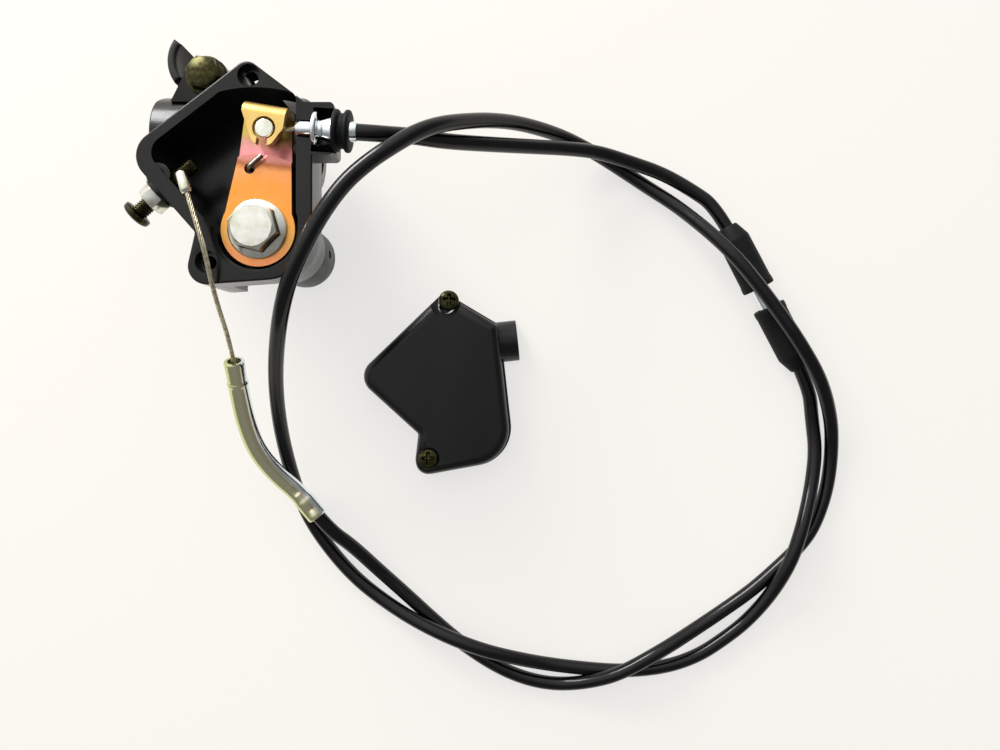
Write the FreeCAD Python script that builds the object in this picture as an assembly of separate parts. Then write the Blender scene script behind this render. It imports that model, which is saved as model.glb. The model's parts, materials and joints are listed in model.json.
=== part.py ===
import FreeCAD, Part
import math
import os

# Opened thumb throttle for a small quad, with its cable and its cover taken off, millimetres.
# The parts are drawn about the lever's pivot axis, with z measured from the table top.
# +X runs along the handlebar towards the cable, +Y towards the rider, +Z up to the open side.
Vector = FreeCAD.Vector

# Place of the pivot axis, measured from the middle of the rigid parts' footprint
PIVOT_X = -20.35
PIVOT_Y = 4.7

# Housing casting, corners of its rim measured from the pivot
RIM_Z = 64.0
SHELL_DEPTH = 24.0
BAND_DEPTH = 10.0
BAND_STEP = 2.5
FLOOR_T = 4.0
APEX = (-2.4, 50.6)
LEFT = (-38.9, 22.5)
WAIST = (-17.8, -1.4)
HEEL = (-21.5, -17.5)
RIGHT_X = 17.2
TOE_Y = -14.7
SHOULDER_Y = 35.8
APEX_R = 4.0
LEFT_R = 7.6
WAIST_R = 1.5
HEEL_R = 5.5
TOE_R = 14.5
SHOULDER_R = 1.5
UPPER_WALL = 3.2
WALL = 4.8
CAVITY_R = 41.7
CAVITY_CORNER_R = 5.0
WELL_R = 13.2
WELL_STEP = 0.9
WELL_STEP_DEPTH = 2.0
EDGE_R = 0.6

# Screw holes and small posts of the housing
UPPER_HOLE = (-1.7, 45.3)
LOWER_HOLE = (-14.3, -10.2)
HOLE_R = 2.1
HOLE_DEPTH = 14.0
HOLE_MOUTH_R = 3.4
HOLE_MOUTH_DEPTH = 3.0
DOWEL = (-28.9, 15.8)
DOWEL_R = 2.0
DOWEL_WALL = 1.6
POST = (13.2, 23.6)
POST_R = 1.8
HEEL_BOSS_W = 12.0

# Handlebar clamp under the housing
BAR_R = 11.1
CLAMP_WALL = 4.4
CLAMP_Y = 36.0
CLAMP_Z = 24.0
CLAMP_LEFT = -42.5
CLAMP_RIGHT = 9.6
CLAMP_SLOT = 2.0
NECK_REACH = 14.0
EAR_T = 12.0
EAR_R = 8.0
EAR_BOLT = (-24.6, 55.4)
EAR_SPREAD = 12.0

# Clamp bolt, M6
CLAMP_BOLT_R = 2.95
CLAMP_BOLT_LEN = 24.0
CLAMP_FLANGE_R = 6.7
CLAMP_FLANGE_T = 1.4
CLAMP_HEAD_AF = 10.0
CLAMP_HEAD_H = 5.6

# Lever shaft, its bush and the thumb lever
SHAFT_R = 6.0
SHAFT_FLAT = 4.6
BUSH_T = 1.5
BUSH_FLANGE_R = 10.0
BUSH_FLANGE_T = 1.2
BOSS_R = 11.5
BOSS_TOP = 56.0
BOSS_NECK_R = 8.2
HUB_R = 11.0
HUB_H = 18.6
HUB_FLOOR = 3.0
HUB_GAP = 0.3
LEVER_T = 6.5
LEVER_NECK_R = 7.0
PAD_T = 3.2
PAD_H = 28.0
PAD_TIP = (-38.9, 71.6)
PAD_MID = (-41.3, 64.6)
PAD_ROOT = (-38.0, 55.6)
PAD_CLEAR = 1.6
PAD_BASE_R = 5.0
PIN_R = 1.5
PIN_Z = 10.0
FIT = 0.05

# Throttle arm, a folded zinc-plated strip
ARM_Z = 58.0
ARM_T = 2.5
ARM_STEP = 1.0
ARM_END_R = 11.2
ARM_TURN = -9.5
ARM_JOGGLE = 22.6
ARM_FOLD = 32.9
ARM_BEND_R = 3.5
ARM_LEFT_ROOT = 10.9
ARM_LEFT_TOP = 8.2
ARM_RIGHT_ROOT = 10.4
ARM_RIGHT_TOP = 4.7
TAB_GAP = 5.7
TAB_HALF = 5.2
KEYHOLE = (3.9, 28.5)
KEYHOLE_R = 3.4
KEYHOLE_SLOT = 3.2
LEG_HOLE = (-2.5, 18.4)
LEG_HOLE_R = 1.6

# Arm bolt, M8 with a flange
ARM_BOLT_R = 3.95
ARM_BOLT_LEN = 14.0
ARM_FLANGE_R = 8.95
ARM_FLANGE_T = 1.2
ARM_HEAD_AF = 13.0
ARM_HEAD_H = 7.0

# Return spring
SPRING_R = 10.3
SPRING_WIRE = 1.4
SPRING_TURNS = 5
SPRING_PITCH = 1.9
SPRING_LIFT = 0.6
SPRING_FOOT_ANGLE = -90.0
SPRING_END = (1.9, 22.2)

# Limiter screw, M5, and its lock nut, square to the lower-left wall
LIMITER_Z = 58.8
LIMITER_R = 2.45
LIMITER_ALONG = 0.45
LIMITER_PAD_R = 5.2
LIMITER_PAD_T = 1.2
LIMITER_INSIDE = 8.2
LIMITER_HEAD_GAP = 4.4
LIMITER_HEAD_R = 4.4
LIMITER_HEAD_H = 2.6
NUT_AF = 8.0
NUT_H = 4.0

# Cable outlet of the housing, and the ferrule and grommet that sit in it
OUTLET_Y = 29.5
OUTLET_HALF = 7.8
OUTLET_LEN = 6.6
OUTLET_R = 6.6
NOTCH_GAP = 0.45
FERRULE_TURN = -3.8
TIP_R = 2.15
TIP_LEN = 5.1
TIP_BORE_R = 1.0
COLLAR_R = 5.2
COLLAR_T = 2.4
BODY_R = 3.45
BODY_LEN = 3.9
TAIL_R = 2.95
TAIL_LEN = 6.9
TAIL_SOCKET = 4.0
GROMMET_R = 6.25
GROMMET_LEN = 5.0
GROMMET_GROOVE = 1.1
GROMMET_GROOVE_W = 1.7
BARREL_R = 2.8
BARREL_LEN = 7.2

# Cable
SHEATH_R = 2.5
WIRE_R = 0.75
ADJUSTER_START = (157.3, 10.9)
ADJUSTER_END = (184.4, -41.4)
ADJUSTER_Z = 6.1
BOOT_LEN = 25.6
BOOT_COLLAR_R = 3.6
BOOT_COLLAR_LEN = 7.0
BOOT_FLARE_LEN = 5.0
BOOT_BODY_R = 5.5
BOOT_MOUTH_R = 5.85
BOOT_GRIP = 9.0
ADJUSTER_R = 3.5
ADJUSTER_BORE_R = 2.4
ADJUSTER_SPLIT = 0.57
ELBOW_R = 3.0
ELBOW_BORE_R = 2.0
ELBOW_CRIMP_R = 3.7
ELBOW_CRIMP_LEN = 7.0
ELBOW_MOUTH_R = 3.4
ELBOW_MOUTH_LEN = 7.0
NIPPLE_R = 1.75
NIPPLE_LEN = 7.0

# Corners of the upper sheath between the ferrule and the first boot
UPPER_ROUTE = [(40.0, 28.5, 61), (46.1, 29.4, 56.5), (54.9, 29.8, 50), (65.0, 31.2, 42.5),
    (75.8, 32.9, 34.5), (86.9, 34.5, 27), (98.6, 36.0, 19.5), (109.2, 36.3, 14), (121.5, 33.7, 9.5),
    (133.0, 30.5, 7), (143.5, 24.9, 6.2)]

# Corners of the long sheath: from the second boot twice round, over the housing, to the elbow
LONG_ROUTE = [(189.9, -60.8, 3.2), (191.3, -72.1, 3), (189.4, -83.8, 4.5), (186.4, -93.0, 7.5),
    (183.3, -101.4, 9.8), (179.7, -112.5, 9.6), (174.3, -125.1, 5), (165.8, -136.2, 2.6),
    (156.4, -143.4, 2.6), (147.0, -149.4, 2.6), (135.0, -153.5, 2.6), (119.3, -155.0, 2.6),
    (106.9, -154.2, 2.6), (90.7, -152.0, 3.5), (77.9, -148.2, 7.5), (66.6, -144.6, 9.8),
    (54.5, -140.1, 9.6), (42.0, -135.2, 6), (30.5, -128.9, 3.2), (19.9, -120.9, 2.6),
    (10.6, -110.7, 2.8), (2.2, -98.1, 4), (-2.0, -85.2, 8), (-3.8, -70.8, 16), (-3.4, -57.8, 26),
    (-1.2, -45.6, 37.5), (2.7, -34.5, 50), (7.1, -24.7, 61), (11.1, -15.7, 66.8), (15.8, -6.7, 69),
    (21.1, 2.8, 69.4), (27.7, 12.0, 69), (34.9, 18.5, 68.4), (41.4, 23.3, 67), (48.1, 28.5, 63.5),
    (54.8, 32.8, 57.5), (62.1, 36.4, 49), (69.9, 39.6, 40), (78.2, 41.7, 31), (87.2, 42.4, 22),
    (96.7, 42.0, 13), (107.3, 38.9, 6), (118.1, 33.2, 2.8), (128.7, 26.2, 2.6), (138.3, 19.3, 5),
    (146.5, 10.8, 10.5), (153.5, 2.7, 15.5), (160.0, -5.0, 17.5), (171.5, -20.0, 17.5),
    (179.9, -32.1, 17.5), (188.9, -45.8, 14.5), (195.3, -60.0, 7.5), (197.1, -72.1, 3.6),
    (196.2, -84.1, 2.6), (193.5, -93.9, 2.6), (189.8, -102.5, 2.6), (184.5, -109.2, 2.6),
    (177.4, -116.0, 2.6), (167.7, -124.6, 2.6), (156.4, -132.5, 2.6), (144.7, -139.4, 4.5),
    (132.5, -144.9, 9.5), (117.1, -153.5, 9.5), (106.6, -157.8, 5.6), (96.0, -159.9, 2.6),
    (86.3, -158.7, 2.6), (76.5, -155.4, 2.6), (66.8, -150.1, 2.6), (56.3, -142.6, 2.6),
    (46.9, -134.4, 2.6), (37.5, -125.7, 2.6), (27.6, -116.4, 4), (18.7, -106.5, 8.5)]

# Corners of the elbow's centre line
ELBOW_ROUTE = [(7.5, -94.8, 14), (1.8, -87.0, 15.5), (-6.4, -79.1, 18.5), (-11.7, -70.5, 23),
    (-13.8, -60.4, 28.5), (-14.4, -49.0, 34), (-14.2, -39.4, 39.5)]

# Corners of the bare wire beyond the elbow's mouth
WIRE_ROUTE = [(-13.8, -32.1, 46), (-12.7, -24.3, 57.5), (-11.7, -17.3, 66.5), (-12.6, -7.6, 70),
    (-15.0, 0.4, 70), (-18.4, 9.3, 68)]

# Cover, lying on the table beside the housing, turned against it
COVER_X = 60.0
COVER_Y = -62.7
COVER_TURN = 6.3
COVER_H = 12.5
COVER_T = 2.0
COVER_EDGE_R = 3.4
COVER_LIP = 0.9
COVER_LIP_H = 2.2
POCKET_R = 5.4
POCKET_FLOOR = 7.0
SEAT_DEPTH = 2.2
SEAT_R = 4.4
COVER_HOLE_R = 3.4
COVER_POST_T = 1.8
PORT_R = 7.6
PORT_BORE_R = 6.5
PORT_LEN = 8.6

# Cover screws, M5 with a pan head
SCREW_R = 2.4
SCREW_LEN = 9.8
SCREW_HEAD_R = 3.7
SCREW_HEAD_H = 2.7
CROSS_W = 1.1
CROSS_DEPTH = 1.6
SCREW_LEAN = 15.0
LEAN_TOWARDS = 35.0
TABLE_GAP = 0.3


def turned(x, y, degrees):
    """The point (x, y) turned about the origin."""
    angle = math.radians(degrees)
    return (x * math.cos(angle) - y * math.sin(angle), x * math.sin(angle) + y * math.cos(angle))


def cylinder(radius, bottom, top, centre=(0.0, 0.0)):
    """An upright cylinder between two heights."""
    return Part.makeCylinder(radius, top - bottom, Vector(centre[0], centre[1], bottom))


def rod(radius, start, end):
    """A round bar between two points."""
    start = Vector(*start)
    span = Vector(*end) - start
    return Part.makeCylinder(radius, span.Length, start, span)


def hexagon(across_flats, bottom, height, centre=(0.0, 0.0)):
    """An upright hexagonal prism."""
    corner = across_flats / math.sqrt(3.0)
    points = []
    for step in range(6):
        dx, dy = turned(corner, 0.0, 60.0 * step)
        points.append((centre[0] + dx, centre[1] + dy, 0.0))
    return prism(points, bottom, bottom + height)


def outline(corners):
    """A closed wire through corners (x, y, radius), each rounded by a tangent arc."""
    edges = []
    ends = []
    count = len(corners)
    for index in range(count):
        before = Vector(*corners[index - 1][:2], 0)
        corner = Vector(*corners[index][:2], 0)
        after = Vector(*corners[(index + 1) % count][:2], 0)
        radius = corners[index][2]
        into = (before - corner).normalize()
        out = (after - corner).normalize()
        half = into.getAngle(out) / 2.0
        if radius <= 0.0:
            ends.append((corner, corner))
            continue
        reach = radius / math.tan(half)
        middle = corner + (into + out).normalize() * (radius / math.sin(half) - radius)
        first = corner + into * reach
        last = corner + out * reach
        edges.append(Part.Arc(first, middle, last).toShape())
        ends.append((first, last))
    for index in range(count):
        start = ends[index - 1][1]
        end = ends[index][0]
        if (end - start).Length > 1e-6:
            edges.append(Part.LineSegment(start, end).toShape())
    return Part.Wire(Part.__sortEdges__(edges))


def prism(corners, bottom, top):
    """A flat plate with the given rounded outline."""
    face = Part.Face(outline(corners))
    face.translate(Vector(0, 0, bottom))
    return face.extrude(Vector(0, 0, top - bottom))


def spun(profile, start, direction):
    """A turned piece: (distance, radius) points spun about the line through start."""
    points = [Vector(radius, 0, along) for along, radius in profile]
    points.append(points[0])
    face = Part.Face(Part.makePolygon(points))
    solid = face.revolve(Vector(0, 0, 0), Vector(0, 0, 1), 360)
    solid.Placement = FreeCAD.Placement(Vector(*start), FreeCAD.Rotation(Vector(0, 0, 1), Vector(*direction)))
    return solid


def moved(point, direction, distance):
    """The point a distance along a direction."""
    unit = Vector(*direction).normalize()
    return tuple(Vector(*point) + unit * distance)


def tube(route, radius, name):
    """A round cord of straight runs joined by tangent arcs, as large as the runs allow."""
    points = [Vector(*point) for point in route]
    edges = []
    start = points[0]
    radii = []
    for before, corner, after in zip(points, points[1:], points[2:]):
        into = before - corner
        out = after - corner
        turn = math.pi - into.getAngle(out)
        reach = 0.45 * min(into.Length, out.Length)
        radii.append(reach / math.tan(turn / 2.0))
        first = corner + into.normalize() * reach
        last = corner + out.normalize() * reach
        sag = radii[-1] / math.cos(turn / 2.0) - radii[-1]
        middle = corner + (into + out).normalize() * sag
        edges.append(Part.LineSegment(start, first).toShape())
        edges.append(Part.Arc(first, middle, last).toShape())
        start = last
    edges.append(Part.LineSegment(start, points[-1]).toShape())
    path = Part.Wire(edges)
    direction = points[1] - points[0]
    section = Part.Wire(Part.Circle(points[0], direction, radius).toShape())
    solid = path.makePipeShell([section], True, True)
    volume = math.pi * radius ** 2 * path.Length
    print(f"{name}: length {path.Length:.0f}, tightest radius {min(radii):.1f}, "
          f"volume share {solid.Volume / volume:.4f}")
    return solid


def rim_corners(inset=0.0):
    """The housing's rim, or the same outline drawn in by an inset."""
    corners = [(*APEX, APEX_R), (*LEFT, LEFT_R), (*WAIST, WAIST_R + inset), (*HEEL, HEEL_R),
               (RIGHT_X, TOE_Y, TOE_R), (RIGHT_X, SHOULDER_Y, SHOULDER_R)]
    if inset == 0.0:
        return corners
    drawn = []
    for index, corner in enumerate(corners):
        before = Vector(*corners[index - 1][:2], 0)
        here = Vector(*corner[:2], 0)
        after = Vector(*corners[(index + 1) % len(corners)][:2], 0)
        into = (here - before).normalize()
        out = (after - here).normalize()
        normal_in = Vector(-into.y, into.x, 0)
        normal_out = Vector(-out.y, out.x, 0)
        bisector = (normal_in + normal_out).normalize()
        place = here + bisector * (inset / bisector.dot(normal_in))
        drawn.append((place.x, place.y, max(corner[2] - inset, 0.8)))
    return drawn


def wall_frame():
    """Outward normal, tangent and middle of the lower-left wall that holds the limiter."""
    start = Vector(*LEFT, 0)
    end = Vector(*WAIST, 0)
    along = (end - start).normalize()
    outward = Vector(along.y, -along.x, 0)
    return outward * math.copysign(1.0, outward.dot(Vector(-1, -1, 0))), along, start + (end - start) * LIMITER_ALONG


SHELL_Z = RIM_Z - SHELL_DEPTH
CAVITY_Z = SHELL_Z + FLOOR_T
CLAMP_R = BAR_R + CLAMP_WALL
HUB_TOP = HUB_H
BOSS_Z = HUB_TOP + BUSH_FLANGE_T + 2 * HUB_GAP
BORE_R = SHAFT_R + FIT + BUSH_T
ARM_TOP = ARM_Z + ARM_T
TAB_Z = ARM_TOP - ARM_STEP + TAB_GAP
OUTLET_X = RIGHT_X + OUTLET_LEN
WALL_OUT, WALL_ALONG, WALL_MID = wall_frame()
FERRULE_LEN = TIP_LEN + COLLAR_T + BODY_LEN + TAIL_LEN
CABLE_WAY = (*turned(1.0, 0.0, FERRULE_TURN), 0.0)
ADJUSTER_FROM = Vector(*ADJUSTER_START, ADJUSTER_Z)
ADJUSTER_TO = Vector(*ADJUSTER_END, ADJUSTER_Z)
ADJUSTER_SPAN = (ADJUSTER_TO - ADJUSTER_FROM).Length
ADJUSTER_WAY = (ADJUSTER_TO - ADJUSTER_FROM) * (1.0 / ADJUSTER_SPAN)


def limiter_point(outside):
    """A point of the limiter's axis, a distance outside the wall's face."""
    return tuple(WALL_MID + WALL_OUT * outside + Vector(0, 0, LIMITER_Z))


def inner_corner(wall_a, wall_b):
    """The inner corner of the cavity at the housing's left corner."""
    apex = Vector(*APEX, 0)
    left = Vector(*LEFT, 0)
    waist = Vector(*WAIST, 0)
    down = (left - apex).normalize()
    right = (waist - left).normalize()
    in_a = Vector(-down.y, down.x, 0)
    in_b = Vector(-right.y, right.x, 0)
    first = left + in_a * wall_a
    second = left + in_b * wall_b
    across = down.cross(right).z
    reach = (second - first).cross(right).z / across
    return first + down * reach, down, right


def cavity():
    """The space inside the rim: walls, an arc about the pivot and the round well."""
    corner, down, right = inner_corner(UPPER_WALL, WALL)
    inside_x = RIGHT_X - WALL
    top = corner - down * (2.0 * CAVITY_R)
    low = corner + right * ((corner.y + 1.0) / -right.y)
    points = [(top.x, top.y, 0.0), (corner.x, corner.y, CAVITY_CORNER_R), (low.x, low.y, 0.0),
              (inside_x, low.y, 0.0), (inside_x, top.y, 0.0)]
    space = prism(points, CAVITY_Z, RIM_Z + 1.0)
    space = space.common(cylinder(CAVITY_R, CAVITY_Z, RIM_Z + 1.0))
    space = space.fuse(cylinder(WELL_R - WELL_STEP, CAVITY_Z, RIM_Z + 1.0))
    return space.fuse(cylinder(WELL_R, RIM_Z - WELL_STEP_DEPTH, RIM_Z + 1.0))


def rounded(solid, radius, wanted):
    """The solid with the edges that meet the test rounded."""
    edges = [edge for edge in solid.Edges if wanted(edge)]
    return solid.makeFillet(radius, edges)


def housing():
    """One casting: open box, pivot boss, split handlebar clamp, ears and cable outlet."""
    band = prism(rim_corners(), RIM_Z - BAND_DEPTH, RIM_Z)
    band = rounded(band, EDGE_R, lambda edge: edge.BoundBox.ZMin > RIM_Z - 0.01)
    shell = prism(rim_corners(BAND_STEP), SHELL_Z, RIM_Z - BAND_DEPTH)
    heel = prism(rim_corners(), SHELL_Z, RIM_Z - BAND_DEPTH)
    heel = heel.common(Part.makeBox(HEEL_BOSS_W, HEEL_BOSS_W, SHELL_DEPTH,
                                    Vector(HEEL[0], HEEL[1], SHELL_Z)))
    outlet = Part.makeBox(OUTLET_LEN + WALL, 2 * OUTLET_HALF, BAND_DEPTH,
                          Vector(RIGHT_X - WALL, OUTLET_Y - OUTLET_HALF, RIM_Z - BAND_DEPTH))
    outlet = rounded(outlet, 1.5, lambda edge: edge.BoundBox.ZLength > 1 and edge.BoundBox.XMin > RIGHT_X)
    boss = cylinder(BOSS_R, BOSS_Z, SHELL_Z + 0.5)
    clamp_len = CLAMP_RIGHT - CLAMP_LEFT
    clamp = Part.makeCylinder(CLAMP_R, clamp_len, Vector(CLAMP_LEFT, CLAMP_Y, CLAMP_Z), Vector(1, 0, 0))
    clamp = rounded(clamp, 0.8, lambda edge: edge.Curve.TypeId == "Part::GeomCircle")
    neck = prism(rim_corners(BAND_STEP), CLAMP_Z, SHELL_Z)
    neck = neck.common(Part.makeBox(clamp_len, 2 * NECK_REACH, SHELL_DEPTH,
                                    Vector(CLAMP_LEFT, CLAMP_Y - NECK_REACH, CLAMP_Z)))
    body = band.fuse([shell, heel, outlet, boss, clamp, neck, ears(), limiter_pad()])
    body = body.cut(cavity())
    body = body.fuse([cylinder(BOSS_NECK_R, CAVITY_Z - 0.5, BOSS_TOP), posts()])
    bore = Part.makeCylinder(BAR_R, clamp_len + 20, Vector(CLAMP_LEFT - 10, CLAMP_Y, CLAMP_Z), Vector(1, 0, 0))
    slot = Part.makeBox(clamp_len + 20, 60, CLAMP_SLOT, Vector(CLAMP_LEFT - 10, CLAMP_Y, CLAMP_Z - CLAMP_SLOT / 2))
    body = body.cut([bore, slot, cylinder(BORE_R + FIT, BOSS_Z - 1, BOSS_TOP + 1),
                     cylinder(CLAMP_BOLT_R + FIT, 0, SHELL_Z, EAR_BOLT), outlet_channel(),
                     rod(LIMITER_R + FIT, limiter_point(10), limiter_point(-12)),
                     spring_foot(SPRING_WIRE / 2 + 0.1), screw_hole(UPPER_HOLE), screw_hole(LOWER_HOLE)])
    return body.removeSplitter()


def ears():
    """The two ears that the clamp bolt draws together, a tapering tongue round the bolt."""
    tongue = [(EAR_BOLT[0] - EAR_SPREAD, CLAMP_Y + BAR_R, 0.0),
              (EAR_BOLT[0] + EAR_SPREAD, CLAMP_Y + BAR_R, 0.0),
              (EAR_BOLT[0] + EAR_R, EAR_BOLT[1] + EAR_R, EAR_R - 0.5),
              (EAR_BOLT[0] - EAR_R, EAR_BOLT[1] + EAR_R, EAR_R - 0.5)]
    return prism(tongue, CLAMP_Z - EAR_T, CLAMP_Z + EAR_T)


def limiter_pad():
    """The flat pad that the lock nut seats on."""
    return rod(LIMITER_PAD_R, limiter_point(-1.0), limiter_point(LIMITER_PAD_T))


def posts():
    """The dowel post and the small post that stand in the cavity."""
    dowel = cylinder(DOWEL_R + DOWEL_WALL, CAVITY_Z - 0.5, RIM_Z - 0.6, DOWEL)
    dowel = dowel.cut(cylinder(DOWEL_R, RIM_Z - 6.0, RIM_Z, DOWEL))
    return dowel.fuse(cylinder(POST_R, CAVITY_Z - 0.5, RIM_Z - 0.6, POST))


def screw_hole(place):
    """A blind tapping hole with a wider mouth for the cover's post."""
    hole = cylinder(HOLE_R, RIM_Z - HOLE_DEPTH, RIM_Z + 1, place)
    return hole.fuse(cylinder(HOLE_MOUTH_R, RIM_Z - HOLE_MOUTH_DEPTH, RIM_Z + 1, place))


def outlet_channel():
    """The half-round seat of the cable end, and the notch for its tip."""
    seat = rod(OUTLET_R, cable_point(WALL), cable_point(FERRULE_LEN))
    notch = rod(TIP_R + NOTCH_GAP, cable_point(-WALL), cable_point(TIP_LEN))
    return seat.fuse(notch)


def clamp_bolt():
    """Flanged hexagon bolt that pinches the clamp's ears."""
    seat = CLAMP_Z + EAR_T
    shank = cylinder(CLAMP_BOLT_R, seat - CLAMP_BOLT_LEN, seat + 0.5, EAR_BOLT)
    flange = spun([(0, 0), (0, CLAMP_FLANGE_R), (0.5, CLAMP_FLANGE_R), (CLAMP_FLANGE_T, CLAMP_HEAD_AF / 2),
                   (CLAMP_FLANGE_T, 0)], (*EAR_BOLT, seat), (0, 0, 1))
    head = hexagon(CLAMP_HEAD_AF, seat + 0.5, CLAMP_HEAD_H - 0.5, EAR_BOLT)
    dome = Part.makeSphere(CLAMP_HEAD_AF * 0.62, Vector(*EAR_BOLT, seat + 0.4))
    return shank.fuse([flange, head.common(dome)]).removeSplitter()


def shaft_bush():
    """Plain bush with a flange at its lower end, in the housing's boss."""
    sleeve = cylinder(BORE_R, BOSS_Z - BUSH_FLANGE_T, BOSS_TOP)
    flange = cylinder(BUSH_FLANGE_R, BOSS_Z - BUSH_FLANGE_T, BOSS_Z)
    return sleeve.fuse(flange).cut(cylinder(SHAFT_R + FIT, BOSS_Z - 5, BOSS_TOP + 5)).removeSplitter()


def double_d(radius, flat, bottom, top):
    """A round post with two flats across X."""
    post = cylinder(radius, bottom, top)
    return post.common(Part.makeBox(2 * flat, 4 * radius, top - bottom, Vector(-flat, -2 * radius, bottom)))


def lever_shaft():
    """Steel shaft from the lever's hub to the arm, with two flats at its top end."""
    shaft = cylinder(SHAFT_R, HUB_FLOOR, ARM_Z)
    shaft = shaft.fuse(double_d(SHAFT_R, SHAFT_FLAT, ARM_Z, ARM_TOP - 0.1))
    shaft = shaft.cut(cylinder(ARM_BOLT_R + FIT, ARM_TOP - ARM_BOLT_LEN - 2, ARM_TOP + 1))
    return shaft.cut(pin_bar(PIN_R + FIT, 2 * HUB_R)).removeSplitter()


def pin_bar(radius, length):
    """The cross pin's place through the hub and the shaft."""
    return rod(radius, (-length / 2, 0, PIN_Z), (length / 2, 0, PIN_Z))


def lever_pin():
    """Roll pin that fixes the lever to its shaft."""
    return pin_bar(PIN_R, 2 * HUB_R - 1.0)


def pad_curve(offset, reach):
    """The pad's side line in plan, an arc through three points, drawn aside and lengthened."""
    points = [Vector(*PAD_TIP, 0), Vector(*PAD_MID, 0), Vector(*PAD_ROOT, 0)]
    circle = Part.Arc(*points).toShape().Curve
    centre = circle.Center
    radius = circle.Radius + offset
    first = math.atan2(points[0].y - centre.y, points[0].x - centre.x)
    last = math.atan2(points[2].y - centre.y, points[2].x - centre.x)
    if last < first:
        last += 2 * math.pi
    last += reach / radius
    line = []
    for share in (0.0, 0.5, 1.0):
        angle = first + (last - first) * share
        line.append(centre + Vector(math.cos(angle), math.sin(angle), 0) * radius)
    return line


def thumb_lever():
    """Cast thumb lever: hub, flat arm that runs under the clamp, and an upright curved pad."""
    hub = cylinder(HUB_R, 0, HUB_TOP)
    hub = rounded(hub, 1.0, lambda edge: edge.Curve.TypeId == "Part::GeomCircle")
    root = Vector(*PAD_ROOT, 0)
    side = Vector(-root.y, root.x, 0).normalize()
    inner = root * (1.0 - 8.0 / root.Length)
    arm = prism([(side.x * HUB_R * 0.9, side.y * HUB_R * 0.9, 0.0),
                 (inner.x + side.x * LEVER_NECK_R, inner.y + side.y * LEVER_NECK_R, 3.0),
                 (PAD_TIP[0] - 3.0, PAD_TIP[1] + 1.0, 2.5), (PAD_TIP[0] + 7.0, PAD_TIP[1] - 1.0, 4.0),
                 (inner.x - side.x * LEVER_NECK_R, inner.y - side.y * LEVER_NECK_R, 6.0),
                 (-side.x * HUB_R * 0.9, -side.y * HUB_R * 0.9, 0.0)], 0, LEVER_T)
    arm = rounded(arm, 0.8, lambda edge: edge.BoundBox.ZLength < 0.01)
    outer = pad_curve(0.0, PAD_BASE_R)
    inside = pad_curve(-PAD_T, PAD_BASE_R)
    wall = Part.Face(Part.Wire([Part.Arc(*outer).toShape(), Part.LineSegment(outer[2], inside[2]).toShape(),
                                Part.Arc(*reversed(inside)).toShape(),
                                Part.LineSegment(inside[0], outer[0]).toShape()]))
    pad = wall.extrude(Vector(0, 0, PAD_H))
    keep_out = math.hypot(CLAMP_LEFT, CLAMP_Y + CLAMP_R) + PAD_CLEAR
    pad = pad.cut(cylinder(keep_out, LEVER_T, PAD_H + 1))
    pad = pad.makeFillet(1.2, [edge for edge in pad.Edges if edge.BoundBox.ZMin > PAD_H - 0.01])
    lever = hub.fuse([arm, pad])
    lever = lever.cut([cylinder(SHAFT_R + FIT, HUB_FLOOR, HUB_TOP + 1), pin_bar(PIN_R + FIT, 3 * HUB_R)])
    return lever.removeSplitter()


def arm_outline(top):
    """The arm's edges in its own turned frame: round end, straight left edge, tapering right edge."""
    points = [(-ARM_LEFT_ROOT, 0.0), (-ARM_LEFT_TOP, top), (ARM_RIGHT_TOP, top), (ARM_RIGHT_ROOT, 0.0)]
    return [(*turned(x, y, ARM_TURN), 0.0) for x, y in points]


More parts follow.
